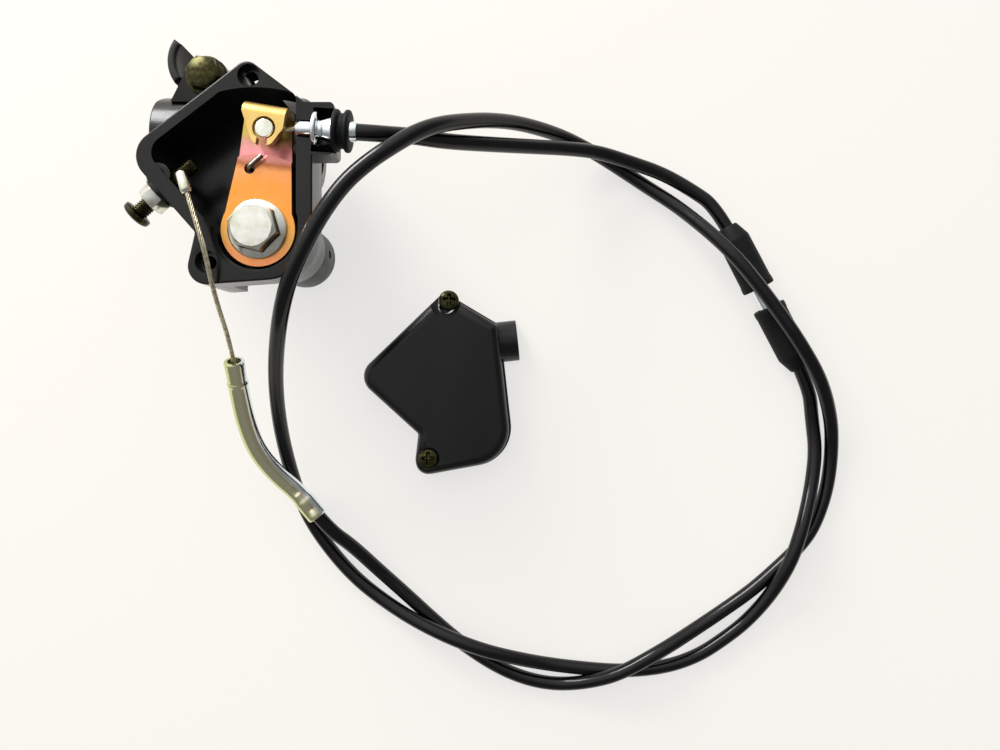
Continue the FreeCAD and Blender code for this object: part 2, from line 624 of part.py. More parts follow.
def throttle_arm():
    """Steel strip: flat on the shaft, stepped down, folded back over itself to hold the cable end."""
    low = ARM_Z - ARM_STEP
    centre = turned(0.0, ARM_JOGGLE, ARM_TURN)
    strip = prism(arm_outline(ARM_FOLD), low, ARM_TOP)
    inner_part = cylinder(math.hypot(*centre), ARM_Z, ARM_TOP)
    root = strip.common(inner_part).fuse(cylinder(ARM_END_R, ARM_Z, ARM_TOP))
    outer_part = strip.cut(cylinder(math.hypot(*centre) - ARM_T / 2, low - 1, ARM_TOP + 1))
    outer_part = outer_part.common(Part.makeBox(200, 200, ARM_T, Vector(-100, -100, low)))
    left_end = turned(-ARM_LEFT_TOP, ARM_FOLD, ARM_TURN)
    right_end = turned(ARM_RIGHT_TOP, ARM_FOLD, ARM_TURN)
    width = ARM_LEFT_TOP + ARM_RIGHT_TOP
    height = TAB_Z + ARM_T - low
    fold = Part.makeBox(width, ARM_BEND_R, height)
    fold = fold.makeFillet(ARM_BEND_R - 0.01, [edge for edge in fold.Edges
                                               if edge.BoundBox.YMin > ARM_BEND_R - 0.01 and edge.BoundBox.ZLength < 0.01])
    hollow = Part.makeBox(width, ARM_BEND_R - ARM_T + 1.0, height - 2 * ARM_T, Vector(0, -1.0, ARM_T))
    fold = fold.cut(hollow)
    fold.rotate(Vector(0, 0, 0), Vector(0, 0, 1), ARM_TURN)
    fold.translate(Vector(*left_end, low))
    tab = [left_end, right_end, turned(ARM_RIGHT_TOP, ARM_FOLD - 4.0, ARM_TURN)]
    spread = [(-TAB_HALF, 0.0), (-TAB_HALF * 0.5, -TAB_HALF * 0.95), (TAB_HALF * 0.5, -TAB_HALF * 0.95), (TAB_HALF, 0.0)]
    tongue = [(KEYHOLE[0] + turned(x, y, ARM_TURN)[0], KEYHOLE[1] + turned(x, y, ARM_TURN)[1]) for x, y in spread]
    corners = [(*left_end, 0.0), (*tongue[0], 2.0), (*tongue[1], 2.5), (*tongue[2], 2.5), (*tongue[3], 2.0),
               (*tab[2], 1.0), (*right_end, 0.0)]
    flap = prism(corners, TAB_Z, TAB_Z + ARM_T)
    key = cylinder(KEYHOLE_R, TAB_Z - 1, TAB_Z + ARM_T + 1, KEYHOLE)
    mouth = Part.makeBox(KEYHOLE_SLOT, 3 * TAB_HALF, ARM_T + 2,
                         Vector(-KEYHOLE_SLOT / 2, -3 * TAB_HALF, TAB_Z - 1))
    mouth.rotate(Vector(0, 0, 0), Vector(0, 0, 1), ARM_TURN)
    mouth.translate(Vector(*KEYHOLE, 0))
    arm = root.fuse([outer_part, fold, flap.cut([key, mouth])])
    leg = cylinder(LEG_HOLE_R, low - 1, ARM_TOP + 1, LEG_HOLE)
    return arm.cut([double_d(SHAFT_R + FIT, SHAFT_FLAT + FIT, ARM_Z - 3, ARM_TOP + 1), leg]).removeSplitter()


def arm_bolt():
    """Flanged hexagon bolt that holds the arm on the shaft."""
    shank = cylinder(ARM_BOLT_R, ARM_TOP - ARM_BOLT_LEN, ARM_TOP + 1)
    flange = spun([(0, 0), (0, ARM_FLANGE_R), (ARM_FLANGE_T, ARM_FLANGE_R),
                   (2.2 * ARM_FLANGE_T, ARM_HEAD_AF / 2 + 0.4), (2.2 * ARM_FLANGE_T, 0)], (0, 0, ARM_TOP), (0, 0, 1))
    head = hexagon(ARM_HEAD_AF, ARM_TOP + ARM_FLANGE_T, ARM_HEAD_H - ARM_FLANGE_T)
    crown = spun([(0, 0), (0, ARM_HEAD_AF), (ARM_HEAD_H - 1.2, ARM_HEAD_AF / 2 + 1.1),
                  (ARM_HEAD_H, ARM_HEAD_AF / 2 - 0.2), (ARM_HEAD_H, 0)], (0, 0, ARM_TOP), (0, 0, 1))
    return shank.fuse([flange, head.common(crown)]).removeSplitter()


def spring_foot(radius):
    """The spring's lower leg, which stands in the cavity floor."""
    place = turned(SPRING_R, 0.0, SPRING_FOOT_ANGLE)
    return cylinder(radius, CAVITY_Z - 2.0, CAVITY_Z + SPRING_LIFT + SPRING_WIRE / 2, place)


def return_spring():
    """Torsion spring round the boss: coil, foot in the floor, and a leg up through the arm."""
    wire = SPRING_WIRE / 2
    bottom = CAVITY_Z + SPRING_LIFT + wire
    hole_angle = math.degrees(math.atan2(LEG_HOLE[1], LEG_HOLE[0]))
    leg_angle = hole_angle - math.degrees(math.acos(SPRING_R / math.hypot(*LEG_HOLE)))
    turns = SPRING_TURNS + ((leg_angle - SPRING_FOOT_ANGLE) % 360.0) / 360.0
    height = SPRING_PITCH * turns
    helix = Part.makeHelix(SPRING_PITCH, height, SPRING_R)
    slope = Vector(0, 2 * math.pi * SPRING_R, SPRING_PITCH)
    section = Part.Wire(Part.Circle(Vector(SPRING_R, 0, 0), slope, wire).toShape())
    coil = Part.Wire(helix).makePipeShell([section], True, False)
    coil.rotate(Vector(0, 0, 0), Vector(0, 0, 1), SPRING_FOOT_ANGLE)
    coil.translate(Vector(0, 0, bottom))
    top = bottom + height
    over = ARM_TOP + SPRING_WIRE
    start = (*turned(SPRING_R, 0.0, SPRING_FOOT_ANGLE), bottom)
    corners = [(*turned(SPRING_R, 0.0, leg_angle), top), (*LEG_HOLE, top), (*LEG_HOLE, over), (*SPRING_END, over)]
    legs = [rod(wire, first, last) for first, last in zip(corners, corners[1:])]
    knees = [Part.makeSphere(wire, Vector(*corner)) for corner in [start] + corners[:3]]
    return coil.fuse([spring_foot(wire)] + knees + legs)


def limiter_screw():
    """Stop screw through the lower-left wall, with a pan head outside."""
    tip = limiter_point(-WALL - LIMITER_INSIDE)
    seat = limiter_point(LIMITER_PAD_T + NUT_H + LIMITER_HEAD_GAP)
    profile = [(0, 0), (0, LIMITER_HEAD_R), (LIMITER_HEAD_H * 0.45, LIMITER_HEAD_R),
               (LIMITER_HEAD_H * 0.85, LIMITER_HEAD_R * 0.72), (LIMITER_HEAD_H, LIMITER_HEAD_R * 0.4),
               (LIMITER_HEAD_H, 0)]
    head = spun(profile, seat, WALL_OUT)
    start = moved(tip, WALL_OUT, 0.6)
    point = spun([(0, 0), (0, LIMITER_R - 0.6), (0.6, LIMITER_R), (0.6, 0)], tip, WALL_OUT)
    return rod(LIMITER_R, start, moved(seat, WALL_OUT, 0.5)).fuse([head, point]).removeSplitter()


def limiter_nut():
    """Hexagon lock nut on the limiter screw, against the pad."""
    nut = hexagon(NUT_AF, 0, NUT_H).common(Part.makeSphere(NUT_AF * 0.61, Vector(0, 0, NUT_H / 2)))
    nut = nut.cut(cylinder(LIMITER_R + FIT, -1, NUT_H + 1))
    turn = FreeCAD.Rotation(Vector(0, 0, 1), WALL_OUT)
    nut.Placement = FreeCAD.Placement(Vector(*limiter_point(LIMITER_PAD_T)), turn)
    return nut


def cable_point(along, radius=0.0):
    """A point of the cable end's axis, measured from the tip's inner end."""
    dx, dy = turned(along, radius, FERRULE_TURN)
    return (RIGHT_X - WALL + dx, OUTLET_Y + dy, RIM_Z)


def cable_ferrule():
    """Turned cable end: tip tube, flange, body and the crimped tail that holds the sheath."""
    flange = TIP_LEN
    body = flange + COLLAR_T
    tail = body + BODY_LEN
    end = tail + TAIL_LEN
    socket = end - TAIL_SOCKET
    profile = [(0, TIP_BORE_R), (0, TIP_R), (flange, TIP_R), (flange, COLLAR_R - 0.4), (flange + 0.4, COLLAR_R),
               (body - 0.4, COLLAR_R), (body, COLLAR_R - 0.4), (body, BODY_R), (tail, BODY_R), (tail, TAIL_R),
               (end, TAIL_R), (end, SHEATH_R + FIT), (socket, SHEATH_R + FIT), (socket, TIP_BORE_R)]
    return spun(profile, cable_point(0), CABLE_WAY)


def cable_grommet():
    """Grooved rubber grommet round the ferrule's tail."""
    start = TIP_LEN + COLLAR_T + BODY_LEN
    first = (GROMMET_LEN - GROMMET_GROOVE_W) / 2
    last = first + GROMMET_GROOVE_W
    low = GROMMET_R - GROMMET_GROOVE
    profile = [(0, TAIL_R), (0, GROMMET_R - 0.5), (0.5, GROMMET_R), (first, GROMMET_R), (first, low), (last, low),
               (last, GROMMET_R), (GROMMET_LEN - 0.5, GROMMET_R), (GROMMET_LEN, GROMMET_R - 0.5),
               (GROMMET_LEN, TAIL_R)]
    return spun(profile, cable_point(start), CABLE_WAY)


def arm_barrel():
    """The cable's barrel end, standing in the arm's keyhole."""
    middle = RIM_Z
    barrel = cylinder(BARREL_R, middle - BARREL_LEN / 2, middle + BARREL_LEN / 2, KEYHOLE)
    barrel = rounded(barrel, 0.4, lambda edge: edge.Curve.TypeId == "Part::GeomCircle")
    return barrel.cut(rod(WIRE_R, (*KEYHOLE, middle), cable_point(1.0)))


def arm_wire():
    """The bare inner wire between the barrel and the ferrule's tip."""
    return rod(WIRE_R, (*KEYHOLE, RIM_Z), cable_point(1.0))


def boot(start, way):
    """Rubber boot: collar on the cable, flare, long body and a beaded mouth."""
    mouth = BOOT_LEN
    flare = BOOT_COLLAR_LEN + BOOT_FLARE_LEN
    sleeve = ADJUSTER_R + FIT
    profile = [(0, SHEATH_R + FIT), (0, BOOT_COLLAR_R - 0.3), (0.3, BOOT_COLLAR_R), (BOOT_COLLAR_LEN, BOOT_COLLAR_R),
               (flare, BOOT_BODY_R), (mouth - 3, BOOT_BODY_R), (mouth - 2.4, BOOT_MOUTH_R), (mouth, BOOT_MOUTH_R),
               (mouth, sleeve), (BOOT_GRIP, sleeve), (BOOT_GRIP, SHEATH_R + FIT)]
    return spun(profile, start, way)


def adjuster_barrel():
    """Threaded barrel of the in-line adjuster; the screw turns into it."""
    split = ADJUSTER_FROM + ADJUSTER_WAY * (ADJUSTER_SPAN * ADJUSTER_SPLIT)
    start = ADJUSTER_FROM + ADJUSTER_WAY * BOOT_GRIP
    length = (split - start).Length
    profile = [(0, 0), (0, ADJUSTER_R), (length, ADJUSTER_R), (length, ADJUSTER_BORE_R + FIT),
               (length * 0.4, ADJUSTER_BORE_R + FIT), (length * 0.4, 0)]
    return spun(profile, tuple(start), tuple(ADJUSTER_WAY))


def adjuster_screw():
    """Hollow screw of the in-line adjuster, with the head that seats the second sheath."""
    split = ADJUSTER_FROM + ADJUSTER_WAY * (ADJUSTER_SPAN * ADJUSTER_SPLIT + 0.4)
    end = ADJUSTER_FROM + ADJUSTER_WAY * (ADJUSTER_SPAN - BOOT_GRIP)
    head = (end - split).Length
    profile = [(-12.0, 0), (-12.0, ADJUSTER_BORE_R), (0, ADJUSTER_BORE_R), (0, ADJUSTER_R), (head, ADJUSTER_R),
               (head, 0)]
    return spun(profile, tuple(split), tuple(ADJUSTER_WAY))


def cable_elbow():
    """Bent zinc tube at the cable's far end, with a crimped socket and a wider mouth."""
    bent = tube(ELBOW_ROUTE, ELBOW_R, "cable_elbow")
    first = Vector(*ELBOW_ROUTE[0])
    second = Vector(*ELBOW_ROUTE[1])
    last = Vector(*ELBOW_ROUTE[-1])
    before = Vector(*ELBOW_ROUTE[-2])
    crimp = rod(ELBOW_CRIMP_R, first, first + (second - first).normalize() * ELBOW_CRIMP_LEN)
    mouth = rod(ELBOW_MOUTH_R, last, last + (before - last).normalize() * ELBOW_MOUTH_LEN)
    elbow = bent.fuse([crimp, mouth])
    socket = rod(SHEATH_R + FIT, first, first + (second - first).normalize() * ELBOW_CRIMP_LEN * 0.8)
    bore = rod(ELBOW_BORE_R, last, last + (before - last).normalize() * ELBOW_MOUTH_LEN * 0.6)
    return elbow.cut([socket, bore]).removeSplitter()


def wire_nipple():
    """Small barrel soldered on the far end of the inner wire."""
    last = Vector(*WIRE_ROUTE[-1])
    way = (last - Vector(*WIRE_ROUTE[-2])).normalize()
    nipple = rod(NIPPLE_R, last, last + way * NIPPLE_LEN)
    return rounded(nipple, 0.5, lambda edge: edge.Curve.TypeId == "Part::GeomCircle")


def cover_placed(shape):
    """Lays a piece drawn in the housing's outline where the cover lies."""
    shape = shape.copy()
    shape.rotate(Vector(0, 0, 0), Vector(0, 0, 1), COVER_TURN)
    shape.translate(Vector(COVER_X, COVER_Y, 0))
    return shape


def cover():
    """Moulded cover: the rim's outline, rounded shoulders, screw pockets and the cable port."""
    outside = prism(rim_corners(COVER_LIP), 0, COVER_H)
    outside = rounded(outside, COVER_EDGE_R, lambda edge: edge.BoundBox.ZMin > COVER_H - 0.01)
    lip = prism(rim_corners(), 0, COVER_LIP_H)
    lip = rounded(lip, 0.5, lambda edge: edge.BoundBox.ZMin > COVER_LIP_H - 0.01)
    inset = COVER_LIP + COVER_T
    inside = prism(rim_corners(inset), -1, COVER_H - COVER_T)
    inside = rounded(inside, COVER_EDGE_R - COVER_T, lambda edge: edge.BoundBox.ZMin > COVER_H - COVER_T - 0.01)
    port_end = OUTLET_X + PORT_LEN - OUTLET_LEN
    port = rod(PORT_R, (RIGHT_X - inset, OUTLET_Y, 0), (port_end, OUTLET_Y, 0))
    port = port.common(Part.makeBox(100, 100, PORT_R + 1, Vector(0, 0, 0)))
    port_bore = rod(PORT_BORE_R, (RIGHT_X - inset - 4, OUTLET_Y, 0), (port_end + 1, OUTLET_Y, 0))
    whole = outside.fuse([lip, port])
    pocket = cylinder(POCKET_R + COVER_POST_T, POCKET_FLOOR - COVER_T, COVER_H, UPPER_HOLE).common(outside)
    seat_z = COVER_H - SEAT_DEPTH
    seat_post = cylinder(SEAT_R + COVER_POST_T, seat_z - 2 * COVER_T, COVER_H, LOWER_HOLE).common(outside)
    shell = whole.cut(inside).fuse([pocket, seat_post])
    shell = shell.cut([port_bore, cylinder(POCKET_R, POCKET_FLOOR, COVER_H + 1, UPPER_HOLE),
                       cylinder(COVER_HOLE_R, -1, COVER_H + 1, UPPER_HOLE),
                       cylinder(SEAT_R, seat_z, COVER_H + 1, LOWER_HOLE),
                       cylinder(SCREW_R + FIT, -1, COVER_H + 1, LOWER_HOLE)])
    return cover_placed(shell.removeSplitter())


def cover_screw():
    """Pan-head screw with a cross recess, its head's underside at z = 0."""
    profile = [(0, 0), (0, SCREW_HEAD_R), (SCREW_HEAD_H * 0.4, SCREW_HEAD_R),
               (SCREW_HEAD_H * 0.85, SCREW_HEAD_R * 0.7), (SCREW_HEAD_H, SCREW_HEAD_R * 0.35), (SCREW_HEAD_H, 0)]
    head = spun(profile, (0, 0, 0), (0, 0, 1))
    screw = head.fuse(cylinder(SCREW_R, -SCREW_LEN, 0.2))
    arm = 1.1 * SCREW_HEAD_R
    low = SCREW_HEAD_H - CROSS_DEPTH
    cross = Part.makeBox(arm, CROSS_W, SCREW_HEAD_H, Vector(-arm / 2, -CROSS_W / 2, low))
    other = Part.makeBox(CROSS_W, arm, SCREW_HEAD_H, Vector(-CROSS_W / 2, -arm / 2, low))
    return screw.cut(cross.fuse(other)).removeSplitter()


def lower_cover_screw():
    """The screw that stays in its hole, head on the seat."""
    screw = cover_screw()
    screw.translate(Vector(*LOWER_HOLE, COVER_H - SEAT_DEPTH))
    return cover_placed(screw)


def upper_cover_screw():
    """The screw that leans in its hole, its point just above the table."""
    screw = cover_screw()
    lean = math.radians(SCREW_LEAN)
    axis = Vector(*turned(1.0, 0.0, LEAN_TOWARDS + 90.0), 0)
    screw.rotate(Vector(0, 0, 0), axis, SCREW_LEAN)
    lift = TABLE_GAP + SCREW_LEN * math.cos(lean) + SCREW_R * math.sin(lean)
    aside = (lift - POCKET_FLOOR + 0.75 * COVER_T) * math.tan(lean)
    dx, dy = turned(aside, 0.0, LEAN_TOWARDS)
    screw.translate(Vector(UPPER_HOLE[0] + dx, UPPER_HOLE[1] + dy, lift))
    return cover_placed(screw)


def upper_sheath():
    """Sheath between the housing and the in-line adjuster."""
    route = [cable_point(FERRULE_LEN - TAIL_SOCKET), cable_point(FERRULE_LEN + 3.6)]
    route += UPPER_ROUTE
    route += [ADJUSTER_FROM - ADJUSTER_WAY * 8.0, ADJUSTER_FROM + ADJUSTER_WAY * BOOT_GRIP]
    return tube(route, SHEATH_R, "upper_sheath")


def elbow_axis():
    """Start and direction of the elbow's first straight run."""
    start = Vector(*ELBOW_ROUTE[0])
    return start, (Vector(*ELBOW_ROUTE[1]) - start).normalize()


def long_sheath():
    """Sheath from the in-line adjuster, coiled twice, to the elbow."""
    start, way = elbow_axis()
    route = [ADJUSTER_TO - ADJUSTER_WAY * BOOT_GRIP, ADJUSTER_TO + ADJUSTER_WAY * 7.0]
    route += LONG_ROUTE
    route += [start - way * 6.0, start + way * (0.8 * ELBOW_CRIMP_LEN)]
    return tube(route, SHEATH_R, "long_sheath")


def elbow_wire():
    """Bare inner wire from the elbow's mouth, over the housing's rim, to the nipple."""
    last = Vector(*ELBOW_ROUTE[-1])
    way = (Vector(*ELBOW_ROUTE[-2]) - last).normalize()
    return tube([last + way * (0.6 * ELBOW_MOUTH_LEN - FIT)] + WIRE_ROUTE, WIRE_R, "elbow_wire")


pieces = {
    "housing": housing(),
    "clamp_bolt": clamp_bolt(),
    "shaft_bush": shaft_bush(),
    "lever_shaft": lever_shaft(),
    "lever_pin": lever_pin(),
    "thumb_lever": thumb_lever(),
    "throttle_arm": throttle_arm(),
    "arm_bolt": arm_bolt(),
    "return_spring": return_spring(),
    "limiter_screw": limiter_screw(),
    "limiter_nut": limiter_nut(),
    "cable_ferrule": cable_ferrule(),
    "cable_grommet": cable_grommet(),
    "arm_barrel": arm_barrel(),
    "arm_wire": arm_wire(),
    "upper_sheath": upper_sheath(),
    "first_boot": boot(ADJUSTER_FROM, ADJUSTER_WAY),
    "adjuster_barrel": adjuster_barrel(),
    "adjuster_screw": adjuster_screw(),
    "second_boot": boot(ADJUSTER_TO, ADJUSTER_WAY * -1.0),
    "long_sheath": long_sheath(),
    "cable_elbow": cable_elbow(),
    "elbow_wire": elbow_wire(),
    "wire_nipple": wire_nipple(),
    "cover": cover(),
    "upper_cover_screw": upper_cover_screw(),
    "lower_cover_screw": lower_cover_screw(),
}
os.makedirs("parts", exist_ok=True)
for name, solid in pieces.items():
    solid.translate(Vector(PIVOT_X, PIVOT_Y, 0))
    box = solid.optimalBoundingBox(False, False)
    print(f"{name}: solids {len(solid.Solids)}, valid {solid.isValid()}, volume {solid.Volume:.0f}, "
          f"x {box.XMin:.1f} {box.XMax:.1f}, y {box.YMin:.1f} {box.YMax:.1f}, z {box.ZMin:.2f} {box.ZMax:.2f}")
    solid.exportStep(f"parts/{name}.step")
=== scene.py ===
import json
import math
import bmesh
import bpy
import numpy as np
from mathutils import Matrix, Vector


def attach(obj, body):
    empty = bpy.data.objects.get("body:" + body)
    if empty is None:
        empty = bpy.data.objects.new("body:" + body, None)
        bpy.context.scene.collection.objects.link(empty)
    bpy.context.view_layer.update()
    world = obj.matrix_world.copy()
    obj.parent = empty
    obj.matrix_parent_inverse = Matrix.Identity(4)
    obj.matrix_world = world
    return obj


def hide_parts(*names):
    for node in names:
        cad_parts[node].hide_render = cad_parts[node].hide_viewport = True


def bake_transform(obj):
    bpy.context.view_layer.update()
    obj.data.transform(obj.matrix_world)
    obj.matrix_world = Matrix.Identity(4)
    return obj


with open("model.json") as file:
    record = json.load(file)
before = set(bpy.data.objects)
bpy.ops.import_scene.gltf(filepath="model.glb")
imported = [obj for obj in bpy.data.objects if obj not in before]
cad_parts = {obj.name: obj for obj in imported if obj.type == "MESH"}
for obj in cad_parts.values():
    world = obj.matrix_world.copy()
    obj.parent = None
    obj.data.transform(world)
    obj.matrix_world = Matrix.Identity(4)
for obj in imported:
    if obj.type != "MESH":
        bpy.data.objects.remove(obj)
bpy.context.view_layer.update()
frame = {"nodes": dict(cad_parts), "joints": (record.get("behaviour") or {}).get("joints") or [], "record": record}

# Table, light and camera
# The parts lie on a white table under soft daylight from the upper left. The camera looks
# straight down from 300 mm above the table, off to the lower right of the throttle.
TABLE_SHADE = "#f1e6d0"
TABLE_GLOW = 0.68
WINDOW_WAY = (-0.48, 0.77, 0.42)
WINDOW_SIZE = 0.4
WINDOW_POWER = 9.0
SKY_LOW = 0.25
SKY_HIGH = 1.4
CAMERA_MM = (73.15, -43.97, 300.0)
LENS_MM = 28.55

hinge = next(joint for joint in frame["joints"] if joint["name"] == "lever_hinge")
pivot = np.array([hinge["pos_m"][0], hinge["pos_m"][1], 0.0])


def metres(points):
    """Points in millimetres about the pivot axis, as metres in the part's frame."""
    return np.asarray(points, float) / 1000.0 + pivot


def linear(code):
    """An sRGB hex colour as linear red, green, blue and full alpha."""
    values = np.array([int(code[i:i + 2], 16) for i in (1, 3, 5)]) / 255.0
    values = np.where(values <= 0.04045, values / 12.92, ((values + 0.055) / 1.055) ** 2.4)
    return (*values.tolist(), 1.0)


def add(tree, kind, settings=None, sockets=None):
    """Adds one node; a socket's value is a number, a colour or another node's output."""
    node = tree.nodes.new(kind)
    for name, value in (settings or {}).items():
        setattr(node, name, value)
    for name, value in (sockets or {}).items():
        if isinstance(value, bpy.types.NodeSocket):
            tree.links.new(value, node.inputs[name])
        else:
            node.inputs[name].default_value = value
    return node


scene = bpy.context.scene
scene.view_settings.view_transform = "Standard"

table_material = bpy.data.materials.new("white_table")
table_material.use_nodes = True
tree = table_material.node_tree
tree.nodes.clear()
light_path = add(tree, "ShaderNodeLightPath")
seen = add(tree, "ShaderNodeMath", {"operation": "MAXIMUM"},
           {0: light_path.outputs["Is Camera Ray"], 1: light_path.outputs["Is Glossy Ray"]})
share = add(tree, "ShaderNodeMath", {"operation": "MULTIPLY"}, {0: seen.outputs[0], 1: TABLE_GLOW})
plain = add(tree, "ShaderNodeBsdfDiffuse", None, {"Color": linear(TABLE_SHADE)})
glow = add(tree, "ShaderNodeEmission", None, {"Color": (1.0, 1.0, 1.0, 1.0), "Strength": 1.0})
mixed = add(tree, "ShaderNodeMixShader", None, {0: share.outputs[0], 1: plain.outputs[0], 2: glow.outputs[0]})
add(tree, "ShaderNodeOutputMaterial", None, {"Surface": mixed.outputs[0]})

table_mesh = bpy.data.meshes.new("table")
table_mesh.from_pydata([(-2, -2, -5e-5), (2, -2, -5e-5), (2, 2, -5e-5), (-2, 2, -5e-5)], [], [(0, 1, 2, 3)])
table = bpy.data.objects.new("table", table_mesh)
scene.collection.objects.link(table)
table_mesh.materials.append(table_material)

world = bpy.data.worlds.new("daylight")
scene.world = world
world.use_nodes = True
tree = world.node_tree
tree.nodes.clear()
direction = add(tree, "ShaderNodeTexCoord")
towards = add(tree, "ShaderNodeVectorMath", {"operation": "DOT_PRODUCT"},
              {0: direction.outputs["Generated"],
               1: tuple(np.array(WINDOW_WAY) / np.linalg.norm(WINDOW_WAY))})
brightness = add(tree, "ShaderNodeMapRange", {"interpolation_type": "SMOOTHSTEP"},
                 {"Value": towards.outputs["Value"], "From Min": 0.0, "From Max": 1.0, "To Min": SKY_LOW,
                  "To Max": SKY_HIGH})
light_path = add(tree, "ShaderNodeLightPath")
strength = add(tree, "ShaderNodeMix", {"data_type": "FLOAT"},
               {0: light_path.outputs["Is Camera Ray"], 2: brightness.outputs[0], 3: 1.0})
sky = add(tree, "ShaderNodeBackground", None,
          {"Color": (1.0, 1.0, 1.0, 1.0), "Strength": strength.outputs[0]})
add(tree, "ShaderNodeOutputWorld", None, {"Surface": sky.outputs[0]})

window = bpy.data.lights.new("window", "AREA")
window.size = WINDOW_SIZE
window.energy = WINDOW_POWER
window_lamp = bpy.data.objects.new("window", window)
window_lamp.location = tuple(np.array(WINDOW_WAY) * 0.9)
window_lamp.rotation_euler = Vector(WINDOW_WAY).to_track_quat("Z", "Y").to_euler()
scene.collection.objects.link(window_lamp)

camera_data = bpy.data.cameras.new("camera")
camera_data.sensor_width = 36.0
camera_data.lens = LENS_MM
camera = bpy.data.objects.new("camera", camera_data)
camera.location = tuple(metres(CAMERA_MM))
scene.collection.objects.link(camera)
scene.camera = camera

# Cable sheaths
# Extruded vinyl over a wound steel liner, 5 mm across, glossy black. The short one runs from
# the housing to the in-line adjuster, the long one lies coiled twice round the table.
SHEATH_R_MM = 2.5
UPPER_ROUTE_MM = [
    (26.67, 28.55, 64), (34.25, 28.05, 64), (40.0, 28.5, 61), (46.1, 29.4, 56.5), (54.9, 29.8, 50),
    (65.0, 31.2, 42.5),
    (75.8, 32.9, 34.5), (86.9, 34.5, 27), (98.6, 36.0, 19.5), (109.2, 36.3, 14), (121.5, 33.7, 9.5),
    (133.0, 30.5, 7), (143.5, 24.9, 6.2), (153.62, 18.0, 6.1), (161.44, 2.91, 6.1)]
LONG_ROUTE_MM = [
    (180.26, -33.41, 6.1), (187.62, -47.62, 6.1),
    (189.9, -60.8, 3.2), (191.3, -72.1, 3), (189.4, -83.8, 4.5), (186.4, -93.0, 7.5),
    (183.3, -101.4, 9.8), (179.7, -112.5, 9.6), (174.3, -125.1, 5), (165.8, -136.2, 2.6),
    (156.4, -143.4, 2.6), (147.0, -149.4, 2.6), (135.0, -153.5, 2.6), (119.3, -155.0, 2.6),
    (106.9, -154.2, 2.6), (90.7, -152.0, 3.5), (77.9, -148.2, 7.5), (66.6, -144.6, 9.8),
    (54.5, -140.1, 9.6), (42.0, -135.2, 6), (30.5, -128.9, 3.2), (19.9, -120.9, 2.6),
    (10.6, -110.7, 2.8), (2.2, -98.1, 4), (-2.0, -85.2, 8), (-3.8, -70.8, 16), (-3.4, -57.8, 26),
    (-1.2, -45.6, 37.5), (2.7, -34.5, 50), (7.1, -24.7, 61), (11.1, -15.7, 66.8), (15.8, -6.7, 69),
    (21.1, 2.8, 69.4), (27.7, 12.0, 69), (34.9, 18.5, 68.4), (41.4, 23.3, 67), (48.1, 28.5, 63.5),
    (54.8, 32.8, 57.5), (62.1, 36.4, 49), (69.9, 39.6, 40), (78.2, 41.7, 31), (87.2, 42.4, 22),
    (96.7, 42.0, 13), (107.3, 38.9, 6), (118.1, 33.2, 2.8), (128.7, 26.2, 2.6), (138.3, 19.3, 5),
    (146.5, 10.8, 10.5), (153.5, 2.7, 15.5), (160.0, -5.0, 17.5), (171.5, -20.0, 17.5),
    (179.9, -32.1, 17.5), (188.9, -45.8, 14.5), (195.3, -60.0, 7.5), (197.1, -72.1, 3.6),
    (196.2, -84.1, 2.6), (193.5, -93.9, 2.6), (189.8, -102.5, 2.6), (184.5, -109.2, 2.6),
    (177.4, -116.0, 2.6), (167.7, -124.6, 2.6), (156.4, -132.5, 2.6), (144.7, -139.4, 4.5),
    (132.5, -144.9, 9.5), (117.1, -153.5, 9.5), (106.6, -157.8, 5.6), (96.0, -159.9, 2.6),
    (86.3, -158.7, 2.6), (76.5, -155.4, 2.6), (66.8, -150.1, 2.6), (56.3, -142.6, 2.6),
    (46.9, -134.4, 2.6), (37.5, -125.7, 2.6), (27.6, -116.4, 4), (18.7, -106.5, 8.5),
    (11.0, -99.59, 13.08), (4.235, -90.33, 14.86)]
SCUFF_MM = 3.0


def finish(name, settings):
    """A material with one Principled shader; returns the material, its tree and the shader."""
    made = bpy.data.materials.new(name)
    made.use_nodes = True
    made.node_tree.nodes.clear()
    shader = add(made.node_tree, "ShaderNodeBsdfPrincipled", None, settings)
    add(made.node_tree, "ShaderNodeOutputMaterial", None, {"Surface": shader.outputs[0]})
    return made, made.node_tree, shader


def noise(tree, size_mm, detail=3.0):
    """Noise on object coordinates whose grains are about size_mm across."""
    place = add(tree, "ShaderNodeTexCoord")
    return add(tree, "ShaderNodeTexNoise", None,
               {"Vector": place.outputs["Object"], "Scale": 1000.0 / size_mm, "Detail": detail})


def ramp(tree, value, stops):
    """A colour ramp from (position, hex colour) stops."""
    node = add(tree, "ShaderNodeValToRGB", None, {"Fac": value})
    elements = node.color_ramp.elements
    elements[1].position, elements[1].color = stops[-1][0], linear(stops[-1][1])
    elements[0].position, elements[0].color = stops[0][0], linear(stops[0][1])
    for position, code in stops[1:-1]:
        elements.new(position).color = linear(code)
    return node


def spread(tree, value, low, high, start=0.3, end=0.7):
    """Maps a pattern's middle range to numbers between low and high."""
    return add(tree, "ShaderNodeMapRange", None,
               {"Value": value, "From Min": start, "From Max": end, "To Min": low, "To Max": high})


